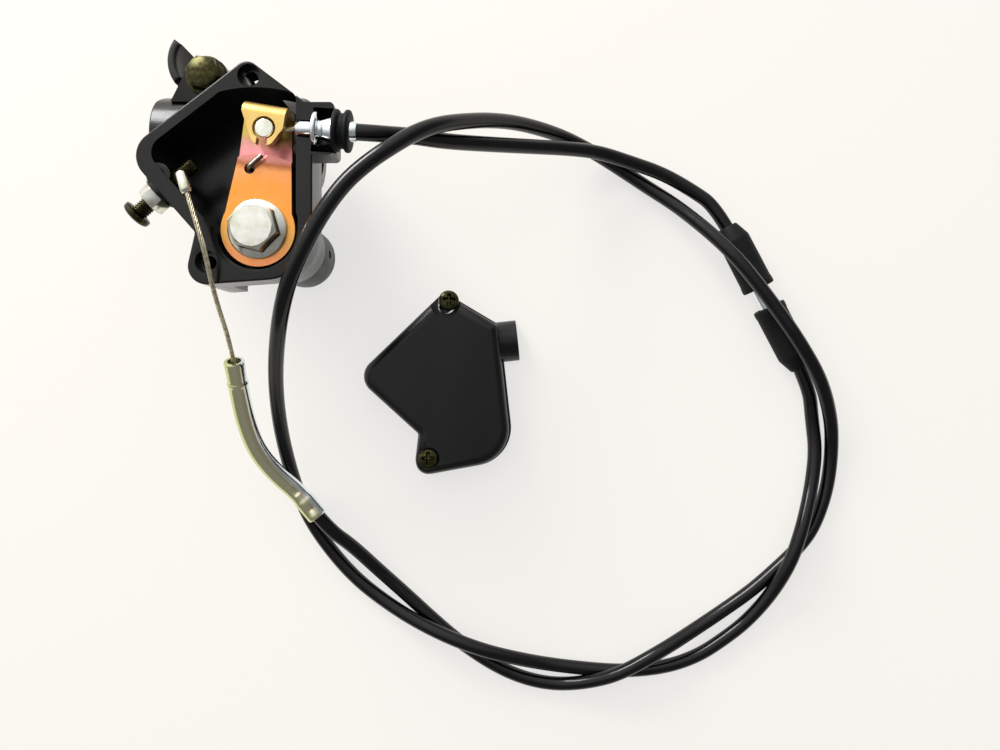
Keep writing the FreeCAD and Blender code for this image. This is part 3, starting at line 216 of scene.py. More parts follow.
# Extruded vinyl: a wet-looking black skin with long highlights and faint handling scuffs.
vinyl, tree, shader = finish("extruded_black_vinyl", {"IOR": 1.5, "Specular IOR Level": 0.35})
scuffs = noise(tree, SCUFF_MM, 5.0)
tree.links.new(ramp(tree, scuffs.outputs[0], [(0.35, "#030304"), (0.75, "#08080a")]).outputs[0],
               shader.inputs["Base Color"])
tree.links.new(spread(tree, scuffs.outputs[0], 0.15, 0.24).outputs[0], shader.inputs["Roughness"])
bump = add(tree, "ShaderNodeBump", None, {"Height": scuffs.outputs[0], "Distance": 0.00003, "Strength": 0.2})
tree.links.new(bump.outputs[0], shader.inputs["Normal"])


def cord_curve(name, route_mm, radius_mm, material):
    """A smooth open NURBS line on the route's points, given a round section."""
    data = bpy.data.curves.new(name, "CURVE")
    data.dimensions = "3D"
    data.bevel_depth = radius_mm / 1000.0
    data.bevel_resolution = 7
    data.resolution_u = 10
    data.use_fill_caps = True
    spline = data.splines.new("NURBS")
    points = metres(route_mm)
    spline.points.add(len(points) - 1)
    spline.points.foreach_set("co", np.c_[points, np.ones(len(points))].ravel())
    spline.order_u = 3
    spline.use_endpoint_u = True
    data.materials.append(material)
    made = bpy.data.objects.new(name, data)
    scene.collection.objects.link(made)
    return made


def line_of(curve):
    """The points along a curve's own line, read with no section on it."""
    depth, caps = curve.data.bevel_depth, curve.data.use_fill_caps
    curve.data.bevel_depth = 0.0
    bpy.context.view_layer.update()
    plain = bpy.data.meshes.new_from_object(curve.evaluated_get(bpy.context.evaluated_depsgraph_get()))
    points = np.empty(len(plain.vertices) * 3)
    plain.vertices.foreach_get("co", points)
    bpy.data.meshes.remove(plain)
    curve.data.bevel_depth, curve.data.use_fill_caps = depth, caps
    return points.reshape(-1, 3)


def length_of(points):
    """Length along a row of points."""
    return float(np.linalg.norm(np.diff(points, axis=0), axis=1).sum())


upper_sheath = cord_curve("upper_sheath_skin", UPPER_ROUTE_MM, SHEATH_R_MM, vinyl)
long_sheath = cord_curve("long_sheath_skin", LONG_ROUTE_MM, SHEATH_R_MM, vinyl)
upper_length = length_of(line_of(upper_sheath))
long_length = length_of(line_of(long_sheath))
for piece, node in ((upper_sheath, "upper_sheath"), (long_sheath, "long_sheath")):
    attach(piece, "housing")
    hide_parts(node)

# Bare inner wire at the far end
# Galvanised cable of six strands laid round a core, 1.5 mm across. It leaves the elbow's
# mouth, passes over the housing's rim and ends in a soldered nipple.
WIRE_R_MM = 0.75
WIRE_ROUTE_MM = [
    (-14.28, -43.08, 37.39), (-13.8, -32.1, 46), (-12.7, -24.3, 57.5), (-11.7, -17.3, 66.5),
    (-12.6, -7.6, 70),
    (-15.0, 0.4, 70), (-18.4, 9.3, 68)]
STRANDS = 6
LAY_MM = 7.5


def surface(name, grid, material, sharp=40.0):
    """A mesh from rings of points, with a UV map in millimetres round and along the piece."""
    rows, columns = grid.shape[:2]
    index = np.arange(rows * columns).reshape(rows, columns)
    index = np.c_[index, index[:, :1]]
    quads = np.stack([index[:-1, :-1], index[:-1, 1:], index[1:, 1:], index[1:, :-1]], axis=-1).reshape(-1, 4)
    middle = grid.mean(axis=1)
    along = np.r_[0.0, np.cumsum(np.linalg.norm(np.diff(middle, axis=0), axis=1))] * 1000.0
    girth = np.linalg.norm(grid - middle[:, None], axis=2).max() * 2.0 * math.pi * 1000.0
    u, v = np.meshgrid(np.linspace(0.0, girth, columns + 1), along)
    places = np.stack([u, v], axis=-1)
    corners = np.stack([places[:-1, :-1], places[:-1, 1:], places[1:, 1:], places[1:, :-1]], axis=2)
    mesh = bpy.data.meshes.new(name)
    mesh.from_pydata(grid.reshape(-1, 3).tolist(), [], quads.tolist())
    mesh.uv_layers.new(name="tube").data.foreach_set("uv", corners.ravel())
    shape = bmesh.new()
    shape.from_mesh(mesh)
    bmesh.ops.remove_doubles(shape, verts=shape.verts, dist=1e-6)
    bmesh.ops.recalc_face_normals(shape, faces=shape.faces)
    for face in shape.faces:
        face.smooth = True
    shape.to_mesh(mesh)
    shape.free()
    mesh.set_sharp_from_angle(angle=math.radians(sharp))
    mesh.materials.append(material)
    made = bpy.data.objects.new(name, mesh)
    scene.collection.objects.link(made)
    return made


def frames(path):
    """Tangent and two side directions at each station of a path, carried along without twist."""
    tangent = np.gradient(path, axis=0)
    tangent /= np.linalg.norm(tangent, axis=1)[:, None]
    helper = np.eye(3)[np.argmin(np.abs(tangent[0]))]
    side = np.cross(tangent[0], helper)
    sides = []
    for way in tangent:
        side = side - way * (side @ way)
        side = side / np.linalg.norm(side)
        sides.append(side)
    sides = np.array(sides)
    return tangent, sides, np.cross(tangent, sides)


def swept(path, radius, turn=None, columns=24):
    """A profile carried along a path; radius is one number or rows by columns."""
    angle = np.linspace(0.0, 2.0 * math.pi, columns, endpoint=False)[None, :]
    angle = angle + (0.0 if turn is None else turn[:, None])
    _, side, other = frames(path)
    radius = np.broadcast_to(radius, (len(path), columns))[..., None]
    ring = np.cos(angle)[..., None] * side[:, None] + np.sin(angle)[..., None] * other[:, None]
    grid = path[:, None] + ring * radius
    return np.concatenate([np.repeat(path[:1, None], columns, 1), grid,
                           np.repeat(path[-1:, None], columns, 1)])


def even(path, step):
    """The same path with its stations a fixed step apart."""
    along = np.r_[0.0, np.cumsum(np.linalg.norm(np.diff(path, axis=0), axis=1))]
    stations = np.linspace(0.0, along[-1], max(int(along[-1] / step), 4))
    return np.stack([np.interp(stations, along, path[:, axis]) for axis in range(3)], axis=1)


def rope(path, radius, lay):
    """Six round strands about a core: the outline of the strands, turned once in each lay."""
    columns = 48
    angle = np.linspace(0.0, 2.0 * math.pi, columns, endpoint=False)
    part = (angle + math.pi / STRANDS) % (2.0 * math.pi / STRANDS) - math.pi / STRANDS
    strand, middle = radius / 3.0, radius * 2.0 / 3.0
    outline = middle * np.cos(part) + np.sqrt(np.maximum(strand ** 2 - (middle * np.sin(part)) ** 2, 0.0))
    along = np.r_[0.0, np.cumsum(np.linalg.norm(np.diff(path, axis=0), axis=1))]
    return swept(path, np.tile(outline, (len(path), 1)), 2.0 * math.pi * along / lay, columns)


# Galvanised wire: dull silver with a warm tint from the grease between its strands.
strand_steel, tree, shader = finish("galvanised_strand", {"Metallic": 1.0, "Roughness": 0.42})
grease = noise(tree, 1.2, 2.0)
tree.links.new(ramp(tree, grease.outputs[0], [(0.3, "#a79c78"), (0.7, "#e2dcc8")]).outputs[0],
               shader.inputs["Base Color"])

wire_line = cord_curve("wire_line", WIRE_ROUTE_MM, 0.0, strand_steel)
wire_path = even(line_of(wire_line), 0.0004)
bpy.data.objects.remove(wire_line)
elbow_wire = surface("inner_wire", rope(wire_path, WIRE_R_MM / 1000.0, LAY_MM / 1000.0), strand_steel,
                     sharp=70.0)
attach(elbow_wire, "housing")
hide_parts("elbow_wire")

# Cable elbow
# Zinc-plated steel tube, bent after plating, crimped on the sheath at one end and flared for
# the wire at the other. The crimps leave flats and faint streaks along the bend.
ELBOW_ROUTE_MM = [
    (7.5, -94.8, 14), (1.8, -87.0, 15.5), (-6.4, -79.1, 18.5), (-11.7, -70.5, 23), (-13.8, -60.4, 28.5),
    (-14.4, -49.0, 34), (-14.2, -39.4, 39.5)]
ELBOW_PROFILE_MM = [(0.0, 2.6), (0.0, 3.5), (0.4, 3.75), (7.4, 3.7), (8.6, 3.4), (10.0, 3.3), (56.5, 3.3),
                    (58.0, 3.35),
                    (58.9, 3.6), (59.6, 3.2), (60.4, 3.25), (66.6, 3.4), (67.0, 3.15), (67.0, 2.3)]
CRIMPED_R_MM = 3.7
CRIMP_AT_MM, CRIMP_REACH_MM, CRIMP_DEPTH_MM = 3.5, 1.7, 0.3
SQUARE_AT_MM, SQUARE_HALF_MM, SQUARE_DEPTH_MM = 12.5, 1.5, 0.5
PUNCH_AT_MM, PUNCH_DEPTH_MM = 4.0, 0.7
MARKS_TURN = 0.15

elbow_line = cord_curve("elbow_line", ELBOW_ROUTE_MM, 0.0, vinyl)
elbow_path = even(line_of(elbow_line), 0.0004)
bpy.data.objects.remove(elbow_line)

# Bent zinc tube: silver with a painted reflection that turns yellow-green on one flank and
# blue-white on the other, with fine drawn streaks that run along the tube.
dull_zinc, tree, shader = finish("bent_zinc_tube", {"Metallic": 1.0})
along_tube = add(tree, "ShaderNodeUVMap", {"uv_map": "tube"})
stretch = add(tree, "ShaderNodeMapping", None, {"Vector": along_tube.outputs[0], "Scale": (1.0, 0.02, 1.0)})
streaks = add(tree, "ShaderNodeTexNoise", None,
              {"Vector": stretch.outputs[0], "Scale": 1.0 / 1.3, "Detail": 3.0})
round_tube = add(tree, "ShaderNodeSeparateXYZ", None, {0: along_tube.outputs[0]})
flank = add(tree, "ShaderNodeMath", {"operation": "MULTIPLY_ADD"},
            {0: streaks.outputs[0], 1: 3.0, 2: round_tube.outputs["X"]})
painted_reflection_round = add(tree, "ShaderNodeMapRange", None,
                  {"Value": flank.outputs[0], "From Min": 1.5,
                   "From Max": 1.5 + 2.0 * math.pi * CRIMPED_R_MM, "To Min": 0.0,
                   "To Max": 1.0})
# Painted reflection: the ramp colours the tube by the angle round it, yellow-green on one flank and blue-white on
# the other.
tree.links.new(ramp(tree, painted_reflection_round.outputs[0], [
    (0.00, "#e4e0bc"), (0.07, "#d3c9a4"), (0.13, "#e6edee"), (0.28, "#f2f7fa"), (0.50, "#cfd1b8"),
    (0.74, "#c6c996"),
    (0.88, "#d7da9c"), (1.00, "#e4e0bc")]).outputs[0], shader.inputs["Base Color"])
tree.links.new(spread(tree, streaks.outputs[0], 0.13, 0.24).outputs[0], shader.inputs["Roughness"])


def elbow_surface():
    """Bent tube: its radius follows the profile, drawn in where the crimp's jaws pressed."""
    columns = 72
    along = np.r_[0.0, np.cumsum(np.linalg.norm(np.diff(elbow_path, axis=0), axis=1))] * 1000.0
    share = along / along[-1] * ELBOW_PROFILE_MM[-1][0]
    stations = np.array([point[0] for point in ELBOW_PROFILE_MM])
    sizes = np.array([point[1] for point in ELBOW_PROFILE_MM])
    radius = np.interp(share, stations[1:-1], sizes[1:-1])
    tangent, side, other = frames(elbow_path)
    turn = np.full(len(elbow_path), math.atan2(other[0, 2], side[0, 2]))
    angle = np.linspace(0.0, 2.0 * math.pi, columns, endpoint=False)
    apart = (angle - MARKS_TURN + math.pi) % (2.0 * math.pi) - math.pi
    pressed = np.exp(-((share - CRIMP_AT_MM) / CRIMP_REACH_MM) ** 4)[:,
                                                                     None] * np.maximum(np.cos(2.0 * angle),
                                                                                        0.0)[None, :] ** 2
    pressed = pressed * CRIMP_DEPTH_MM
    square = np.exp(-((share - SQUARE_AT_MM) / SQUARE_HALF_MM) ** 6)[:, None]
    square = square * np.exp(-(apart / 0.35) ** 6)[None, :] * SQUARE_DEPTH_MM
    from_punch = (share - PUNCH_AT_MM)[:, None] ** 2 + (apart[None, :] * CRIMPED_R_MM) ** 2
    punch = np.exp(-from_punch / 0.9) * PUNCH_DEPTH_MM
    grid = swept(elbow_path, (radius[:, None] - pressed - square - punch) / 1000.0, turn, columns)
    ring = np.cos(angle + turn[-1])[:, None] * side[-1] + np.sin(angle + turn[-1])[:, None] * other[-1]
    mouth = [elbow_path[-1] + ring * 0.00225, elbow_path[-1] - tangent[-1] * 0.0035 + ring * 0.0019,
             np.repeat((elbow_path[-1] - tangent[-1] * 0.0036)[None], columns, 0)]
    return np.concatenate([grid[:-1], np.array(mouth)])


cable_elbow = surface("bent_tube", elbow_surface(), dull_zinc, sharp=38.0)
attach(cable_elbow, "housing")
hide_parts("cable_elbow")

# Turned ends and rubber of the cable
# The housing end is a turned, zinc-plated ferrule in a grooved rubber grommet. In the middle
# two rubber boots cover a threaded adjuster. The wire ends in a soldered barrel nipple.
FERRULE_FROM_MM = (12.4, 29.5, 64.0)
FERRULE_TURN = math.radians(-3.8)
FERRULE_PROFILE_MM = [(1.0, 1.0), (0.0, 1.2), (0.0, 1.9), (0.25, 2.15), (4.6, 2.15), (5.0, 2.3), (5.15, 2.7),
                      (5.2, 4.5),
                      (5.4, 5.0), (5.8, 5.2), (6.3, 5.2), (6.7, 5.0), (6.9, 4.5), (7.0, 2.9), (7.4, 2.8),
                      (8.4, 3.05),
                      (9.6, 3.5), (11.2, 3.9), (11.4, 3.7), (11.4, 2.95), (18.0, 2.95), (18.3, 2.8),
                      (18.3, 2.5),
                      (14.4, 2.5)]
GROMMET_PROFILE_MM = [(0.0, 2.95), (0.0, 5.6), (0.2, 6.05), (0.7, 6.25), (1.3, 6.15), (1.65, 5.7),
                      (1.75, 5.15),
                      (3.25, 5.15), (3.35, 5.7), (3.7, 6.15), (4.3, 6.25), (4.8, 6.05), (5.0, 5.6),
                      (5.0, 2.95)]
BOOT_PROFILE_MM = [(0.0, 2.55), (0.0, 3.3), (0.25, 3.55), (0.8, 3.8), (5.2, 5.5), (5.7, 5.62), (6.4, 5.65),
                   (14.0, 5.7),
                   (22.8, 5.75), (23.2, 5.9), (25.0, 5.95), (25.5, 5.75), (25.6, 5.4), (25.6, 4.6),
                   (25.2, 4.3),
                   (22.5, 4.2), (22.4, 3.55)]
BOOT_FROM_MM = (157.3, 10.9, 6.1)
BOOT_TO_MM = (184.4, -41.4, 6.1)
NIPPLE_PROFILE_MM = [(0.0, 0.75), (0.0, 1.1), (0.5, 1.6), (1.1, 1.75), (6.3, 1.75), (6.8, 1.55), (7.0, 1.1),
                     (7.0, 0.0)]

# Bright zinc: clear-passivated plating, silver with a yellow cast and small stains.
bright_zinc, tree, shader = finish("bright_zinc_plating", {"Metallic": 1.0})
stain = noise(tree, 4.0, 4.0)
tree.links.new(ramp(tree, stain.outputs[0],
                    [(0.3, "#cfcdb4"), (0.55, "#e4e4da"), (0.8, "#f4f4f2")]).outputs[0],
               shader.inputs["Base Color"])
tree.links.new(spread(tree, stain.outputs[0], 0.14, 0.24).outputs[0], shader.inputs["Roughness"])

# Turned and polished zinc: cold white, nearly a mirror, with fine rings from the lathe.
polished_zinc, tree, shader = finish("polished_zinc_plating", {"Metallic": 1.0})
rings = noise(tree, 0.6, 2.0)
tree.links.new(ramp(tree, rings.outputs[0], [(0.3, "#dfe6ea"), (0.7, "#f8fbfd")]).outputs[0],
               shader.inputs["Base Color"])
tree.links.new(spread(tree, rings.outputs[0], 0.07, 0.13).outputs[0], shader.inputs["Roughness"])

# Moulded rubber: matte dark grey with a fine mould grain.
rubber, tree, shader = finish("moulded_black_rubber", {"IOR": 1.5, "Specular IOR Level": 0.15})
grain = noise(tree, 0.5, 4.0)
tree.links.new(ramp(tree, grain.outputs[0], [(0.3, "#0c0d0d"), (0.7, "#181a1a")]).outputs[0],
               shader.inputs["Base Color"])
tree.links.new(spread(tree, grain.outputs[0], 0.5, 0.68).outputs[0], shader.inputs["Roughness"])
bump = add(tree, "ShaderNodeBump", None, {"Height": grain.outputs[0], "Distance": 0.00005, "Strength": 0.4})
tree.links.new(bump.outputs[0], shader.inputs["Normal"])


def basis(way):
    """Three directions, the last along the way given."""
    last = np.asarray(way, float) / np.linalg.norm(way)
    first = np.cross(np.eye(3)[np.argmin(np.abs(last))], last)
    first /= np.linalg.norm(first)
    return np.array([first, np.cross(last, first), last])


def lathe(profile_mm, start_mm, way, columns=64, waves=None):
    """A profile of (distance, radius) points turned about the line from start along way."""
    profile = np.array(profile_mm, float)
    angle = np.linspace(0.0, 2.0 * math.pi, columns, endpoint=False)
    radius = np.repeat(profile[:, 1:2], columns, 1)
    if waves is not None:
        radius = radius + waves(profile[:, :1], angle[None, :])
    local = np.stack([radius * np.cos(angle), radius * np.sin(angle), np.repeat(profile[:, :1], columns, 1)],
                     -1)
    return (local @ basis(way)) / 1000.0 + metres(start_mm)


ferrule_way = np.array([math.cos(FERRULE_TURN), math.sin(FERRULE_TURN), 0.0])
boot_way = np.array(BOOT_TO_MM) - np.array(BOOT_FROM_MM)
boot_way = boot_way / np.linalg.norm(boot_way)
wire_way = wire_path[-1] - wire_path[-4]
nipple_from_mm = (wire_path[-1] - pivot) * 1000.0
cable_ends = [
    ("ferrule", "cable_ferrule", lathe(FERRULE_PROFILE_MM, FERRULE_FROM_MM, ferrule_way), polished_zinc,
     "bright_zinc"),
    ("grommet", "cable_grommet",
     lathe(GROMMET_PROFILE_MM, np.array(FERRULE_FROM_MM) + ferrule_way * 11.4, ferrule_way),
     rubber, "black_rubber"),
    ("boot_near", "first_boot", lathe(BOOT_PROFILE_MM, BOOT_FROM_MM, boot_way), rubber, "black_rubber"),
    ("boot_far", "second_boot", lathe(BOOT_PROFILE_MM, BOOT_TO_MM, -boot_way), rubber, "black_rubber"),
    ("nipple", "wire_nipple", lathe(NIPPLE_PROFILE_MM, nipple_from_mm, wire_way), bright_zinc, "bright_zinc"),
]
for name, node, grid, material, slot_name in cable_ends:
    piece = surface(name, grid, material, sharp=50.0)
    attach(piece, "housing")
    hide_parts(node)
for node in ("adjuster_barrel", "adjuster_screw"):
    frame["nodes"][node].data.materials.clear()
    frame["nodes"][node].data.materials.append(polished_zinc)

# Housing and thumb lever
# Die-cast aluminium, sprayed with black enamel: glossy on its side walls, a little rough on
# the top of the rim, with softened edges. The lever under it has the same enamel, less shiny.
CAST_GRAIN_MM = 0.9


def dressed(node, material, edge_mm=0.25, sharp=32.0, fitted=None):
    """A merged copy of a CAD node with smooth faces and softened edges, which stands for it."""
    source = frame["nodes"][node]
    mesh = bpy.data.meshes.new(node + "_skin")
    shape = bmesh.new()
    shape.from_mesh(source.data)
    bmesh.ops.remove_doubles(shape, verts=shape.verts, dist=2e-6)
    bmesh.ops.dissolve_limit(shape, angle_limit=math.radians(0.6), verts=shape.verts, edges=shape.edges)
    for face in shape.faces:
        face.smooth = True
    shape.to_mesh(mesh)
    shape.free()
    if fitted is not None:
        points = np.empty(len(mesh.vertices) * 3)
        mesh.vertices.foreach_get("co", points)
        points = (points.reshape(-1, 3) - pivot) * 1000.0
        mesh.vertices.foreach_set("co", metres(fitted(points)).ravel())
    mesh.set_sharp_from_angle(angle=math.radians(sharp))
    mesh.materials.clear()
    mesh.materials.append(material)
    for polygon in mesh.polygons:
        polygon.material_index = 0
    made = bpy.data.objects.new(node + "_skin", mesh)
    scene.collection.objects.link(made)
    if edge_mm > 0.0:
        soft = made.modifiers.new("soft_edges", "BEVEL")
        soft.width = edge_mm / 1000.0
        soft.segments = 2
        soft.limit_method = "ANGLE"
        soft.angle_limit = math.radians(sharp + 4.0)
        soft.harden_normals = True
    body = next(name for name, members in frame["record"]["behaviour"]["bodies"].items() if node in members)
    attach(made, body)
    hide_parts(node)
    return made


# Enamel over a casting: near black with a green cast, faint orange peel under a clear gloss.
enamel, tree, shader = finish("sprayed_black_enamel", {"IOR": 1.5, "Specular IOR Level": 0.35})
peel = noise(tree, CAST_GRAIN_MM, 4.0)
patches = noise(tree, 14.0, 3.0)
tree.links.new(ramp(tree, patches.outputs[0], [(0.3, "#060705"), (0.7, "#0f100b")]).outputs[0],
               shader.inputs["Base Color"])
tree.links.new(spread(tree, patches.outputs[0], 0.16, 0.28).outputs[0], shader.inputs["Roughness"])
bump = add(tree, "ShaderNodeBump", None, {"Height": peel.outputs[0], "Distance": 0.00005, "Strength": 0.3})
tree.links.new(bump.outputs[0], shader.inputs["Normal"])

# The lever's enamel is rubbed by the thumb: softer gloss, slightly browner.
lever_enamel, tree, shader = finish("rubbed_black_enamel", {"IOR": 1.5, "Specular IOR Level": 0.3})
rubbed = noise(tree, 8.0, 4.0)
tree.links.new(ramp(tree, rubbed.outputs[0], [(0.3, "#11120e"), (0.7, "#1e2017")]).outputs[0],
               shader.inputs["Base Color"])
tree.links.new(spread(tree, rubbed.outputs[0], 0.35, 0.5).outputs[0], shader.inputs["Roughness"])

EAR_BOLT_MM = (-24.6, 55.4)
EAR_FOOT_MM = 47.2
EAR_TOP_MM = 36.1
EAR_WAIST = 0.74


def ease(value, low, high):
    """Rises smoothly from 0 at low to 1 at high."""
    share = np.clip((value - low) / (high - low), 0.0, 1.0)
    return share * share * (3.0 - 2.0 * share)


def slimmer_ears(points):
    """The clamp's ears narrow towards their bolt, as far as its flange hides them."""
    x, y, z = points.T
    on_ear = (y > EAR_FOOT_MM) & (z < EAR_TOP_MM)
    narrow = 1.0 - (1.0 - EAR_WAIST) * ease(y, EAR_FOOT_MM, EAR_BOLT_MM[1])
    new_x = np.where(on_ear, EAR_BOLT_MM[0] + (x - EAR_BOLT_MM[0]) * narrow, x)
    new_y = np.where(on_ear & (y > EAR_BOLT_MM[1]), EAR_BOLT_MM[1] + (y - EAR_BOLT_MM[1]) * EAR_WAIST, y)
    return np.stack([new_x, new_y, z], axis=1)


dressed("housing", enamel, 0.3, fitted=slimmer_ears)
dressed("thumb_lever", lever_enamel, 0.4)
dressed("shaft_bush", rubber, 0.0)
dressed("lever_shaft", bright_zinc, 0.0)
dressed("lever_pin", bright_zinc, 0.2)

# Throttle arm
# A steel strip, pressed, joggled and folded, then zinc-plated and yellow-passivated, which
# leaves gold with pink and violet clouds that gather at the joggle and near the edges.
ARM_TURN = math.radians(9.5)
CLOUD_MM = 11.0
FLAP_Z = 0.0631

yellow_zinc, tree, shader = finish("yellow_zinc_plating", {"Metallic": 0.85})
clouds = noise(tree, CLOUD_MM, 3.0)
place = add(tree, "ShaderNodeTexCoord")
centred = add(tree, "ShaderNodeVectorMath", {"operation": "SUBTRACT"},
              {0: place.outputs["Object"], 1: tuple(pivot.tolist())})
turned = add(tree, "ShaderNodeVectorRotate", {"rotation_type": "Z_AXIS"},
             {"Vector": centred.outputs[0], "Angle": ARM_TURN})
parts = add(tree, "ShaderNodeSeparateXYZ", None, {0: turned.outputs[0]})
wander = add(tree, "ShaderNodeMath", {"operation": "MULTIPLY_ADD"},
             {0: clouds.outputs[0], 1: 0.006, 2: parts.outputs["Y"]})
lean = add(tree, "ShaderNodeMath", {"operation": "MULTIPLY_ADD"},
           {0: parts.outputs["X"], 1: -0.10, 2: wander.outputs[0]})
length = add(tree, "ShaderNodeMapRange", None,
             {"Value": lean.outputs[0], "From Min": -0.012, "From Max": 0.038, "To Min": 0.0, "To Max": 1.0})
bands = ramp(tree, length.outputs[0], [
    (0.00, "#f0a070"), (0.14, "#eda268"), (0.24, "#e8b464"), (0.40, "#f6aa52"), (0.56, "#fba552"),
    (0.655, "#f7ab6a"), (0.70, "#b0704a"), (0.725, "#d9938a"), (0.78, "#e39aa0"), (0.83, "#cc9a86"),
    (0.88, "#c8b060")])
spots = noise(tree, 5.0, 4.0)
tint = add(tree, "ShaderNodeMix", {"data_type": "RGBA", "blend_type": "SOFT_LIGHT"},
           {"Factor": 0.35, "A": bands.outputs[0],
            "B": ramp(tree, spots.outputs[0], [(0.35, "#8f8a50"), (0.65, "#c99aa8")]).outputs[0]})
on_flap = add(tree, "ShaderNodeMapRange", None,
              {"Value": parts.outputs["Z"], "From Min": FLAP_Z, "From Max": FLAP_Z + 0.0006, "To Min": 0.0,
               "To Max": 1.0})
flap = ramp(tree, clouds.outputs[0], [(0.3, "#d8b465"), (0.6, "#e6c67c"), (0.8, "#d9a066")])
whole = add(tree, "ShaderNodeMix", {"data_type": "RGBA"},
            {"Factor": on_flap.outputs[0], "A": tint.outputs["Result"], "B": flap.outputs[0]})
tree.links.new(whole.outputs["Result"], shader.inputs["Base Color"])
fine = noise(tree, 0.7, 3.0)
tree.links.new(spread(tree, fine.outputs[0], 0.26, 0.36).outputs[0], shader.inputs["Roughness"])
bump = add(tree, "ShaderNodeBump", None, {"Height": fine.outputs[0], "Distance": 0.00002, "Strength": 0.3})
tree.links.new(bump.outputs[0], shader.inputs["Normal"])


def wider_strip(points):
    """The strip under the folded tongue is a little wider than the tongue, as its blank was."""
    c, s = math.cos(ARM_TURN), math.sin(ARM_TURN)
    x, y, z = points.T
    across, along = x * c - y * s, x * s + y * c
    push = 1.7 * ease(along, 19.0, 25.0) * (1.0 - ease(z, 60.0, 65.5)) * (across < -4.0)
    across = across - push
    return np.stack([across * c + along * s, -across * s + along * c, z], axis=1)


dressed("throttle_arm", yellow_zinc, 0.3, fitted=wider_strip)
dressed("arm_barrel", bright_zinc, 0.2)

# Hexagon bolts and the lock nut
# Cold-headed steel. The arm's M8 bolt has a flange and bright zinc, the clamp's M6 bolt has a
# domed head in olive zinc, and the stop screw's lock nut is bright zinc.
ARM_TOP_MM = 60.5
ARM_BOLT_MM = {"flats": 13.0, "height": 7.0, "flange": 8.95, "flange_t": 1.2, "shank": 3.95, "depth": 14.0}
CLAMP_BOLT_MM = {"flats": 10.0, "height": 5.6, "flange": 6.7, "flange_t": 0.7, "shank": 2.95, "depth": 24.0}
CLAMP_BOLT_AT_MM = (-24.6, 55.4, 36.0)
BOLT_TURN = math.radians(14.0)

# Olive zinc: dark bronze-green plating with a soft shine, worn lighter on the crown.
olive_zinc, tree, shader = finish("olive_zinc_plating", {"Metallic": 1.0})
worn = noise(tree, 1.3, 5.0)
tree.links.new(ramp(tree, worn.outputs[0],
                    [(0.3, "#2c2b1a"), (0.6, "#45422a"), (0.85, "#5e5a3e")]).outputs[0],
               shader.inputs["Base Color"])
tree.links.new(spread(tree, worn.outputs[0], 0.22, 0.34).outputs[0], shader.inputs["Roughness"])


def hexagon_bolt(size, at_mm, turn, crown, columns=120):
    """Rings from the head's middle, over the chamfered hexagon and the flange, down the shank."""
    angle = np.linspace(0.0, 2.0 * math.pi, columns, endpoint=False)
    flat = size["flats"] / 2.0
    corner = flat / np.cos((angle + turn) % (math.pi / 3.0) - math.pi / 6.0)
    ring = np.ones(columns)
    top = size["height"]
    cut = flat * 0.93
    rings = []
    for part in (0.0, 0.35, 0.65, 0.85, 0.95, 1.0):
        rings.append((cut * part * ring, (top - crown * part ** 2) * ring))
    slope = math.tan(math.radians(27.0))
    for part in (0.12, 0.6, 1.0):
        reach = cut + (corner - cut) * part
        rings.append((reach, top - crown - 0.08 - (reach - cut) * slope))
    foot = size["flange_t"] + (size["flange"] - corner) * 0.30
    rings.append((corner, foot + 0.35))
    rings.append((corner + 0.12, foot + 0.08))
    rings.append((corner + 0.4, foot - 0.1))
    rings.append(((size["flange"] - 0.45) * ring, (size["flange_t"] + 0.12) * ring))
    rings.append(((size["flange"] - 0.1) * ring, (size["flange_t"] - 0.1) * ring))
    rings.append((size["flange"] * ring, size["flange_t"] * 0.7 * ring))
    rings.append((size["flange"] * ring, 0.15 * ring))
    rings.append(((size["flange"] - 0.15) * ring, 0.0 * ring))
    rings.append((size["shank"] * ring, 0.0 * ring))
    rings.append((size["shank"] * ring, -(size["depth"] - 0.6) * ring))
    rings.append(((size["shank"] - 0.6) * ring, -size["depth"] * ring))
    rings.append((0.0 * ring, -size["depth"] * ring))
    radius = np.array([r for r, z in rings])
    height = np.array([z for r, z in rings])
    local = np.stack([radius * np.cos(angle), radius * np.sin(angle), height], -1)
    return local / 1000.0 + metres(at_mm)


arm_bolt = surface("arm_bolt_head", hexagon_bolt(ARM_BOLT_MM, (0, 0, ARM_TOP_MM), BOLT_TURN, 0.15),
                   bright_zinc, sharp=24.0)
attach(arm_bolt, "lever")
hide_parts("arm_bolt")
clamp_bolt = surface("clamp_bolt_head", hexagon_bolt(CLAMP_BOLT_MM, CLAMP_BOLT_AT_MM, 0.2, 0.9), olive_zinc,
                     sharp=24.0)
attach(clamp_bolt, "housing")
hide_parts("clamp_bolt")
dressed("limiter_nut", bright_zinc, 0.3)

# Cross-head screws
# Cold-headed, thread-rolled M5 screws in olive zinc. One is the lever's stop, two held the
# cover: the lower one sits in its seat, the upper one leans in its pocket.
THREAD_PITCH_MM = 0.8
THREAD_DEPTH_MM = 0.42
STOP_TIP_MM = (-19.6595, 20.3488, 58.8)
STOP_WAY = (-0.74965, -0.66183, 0.0)
STOP_SIZE_MM = {"radius": 2.45, "length": 22.6, "head": 4.4, "head_h": 2.6}
COVER_SIZE_MM = {"radius": 2.4, "length": 9.8, "head": 3.7, "head_h": 2.7}


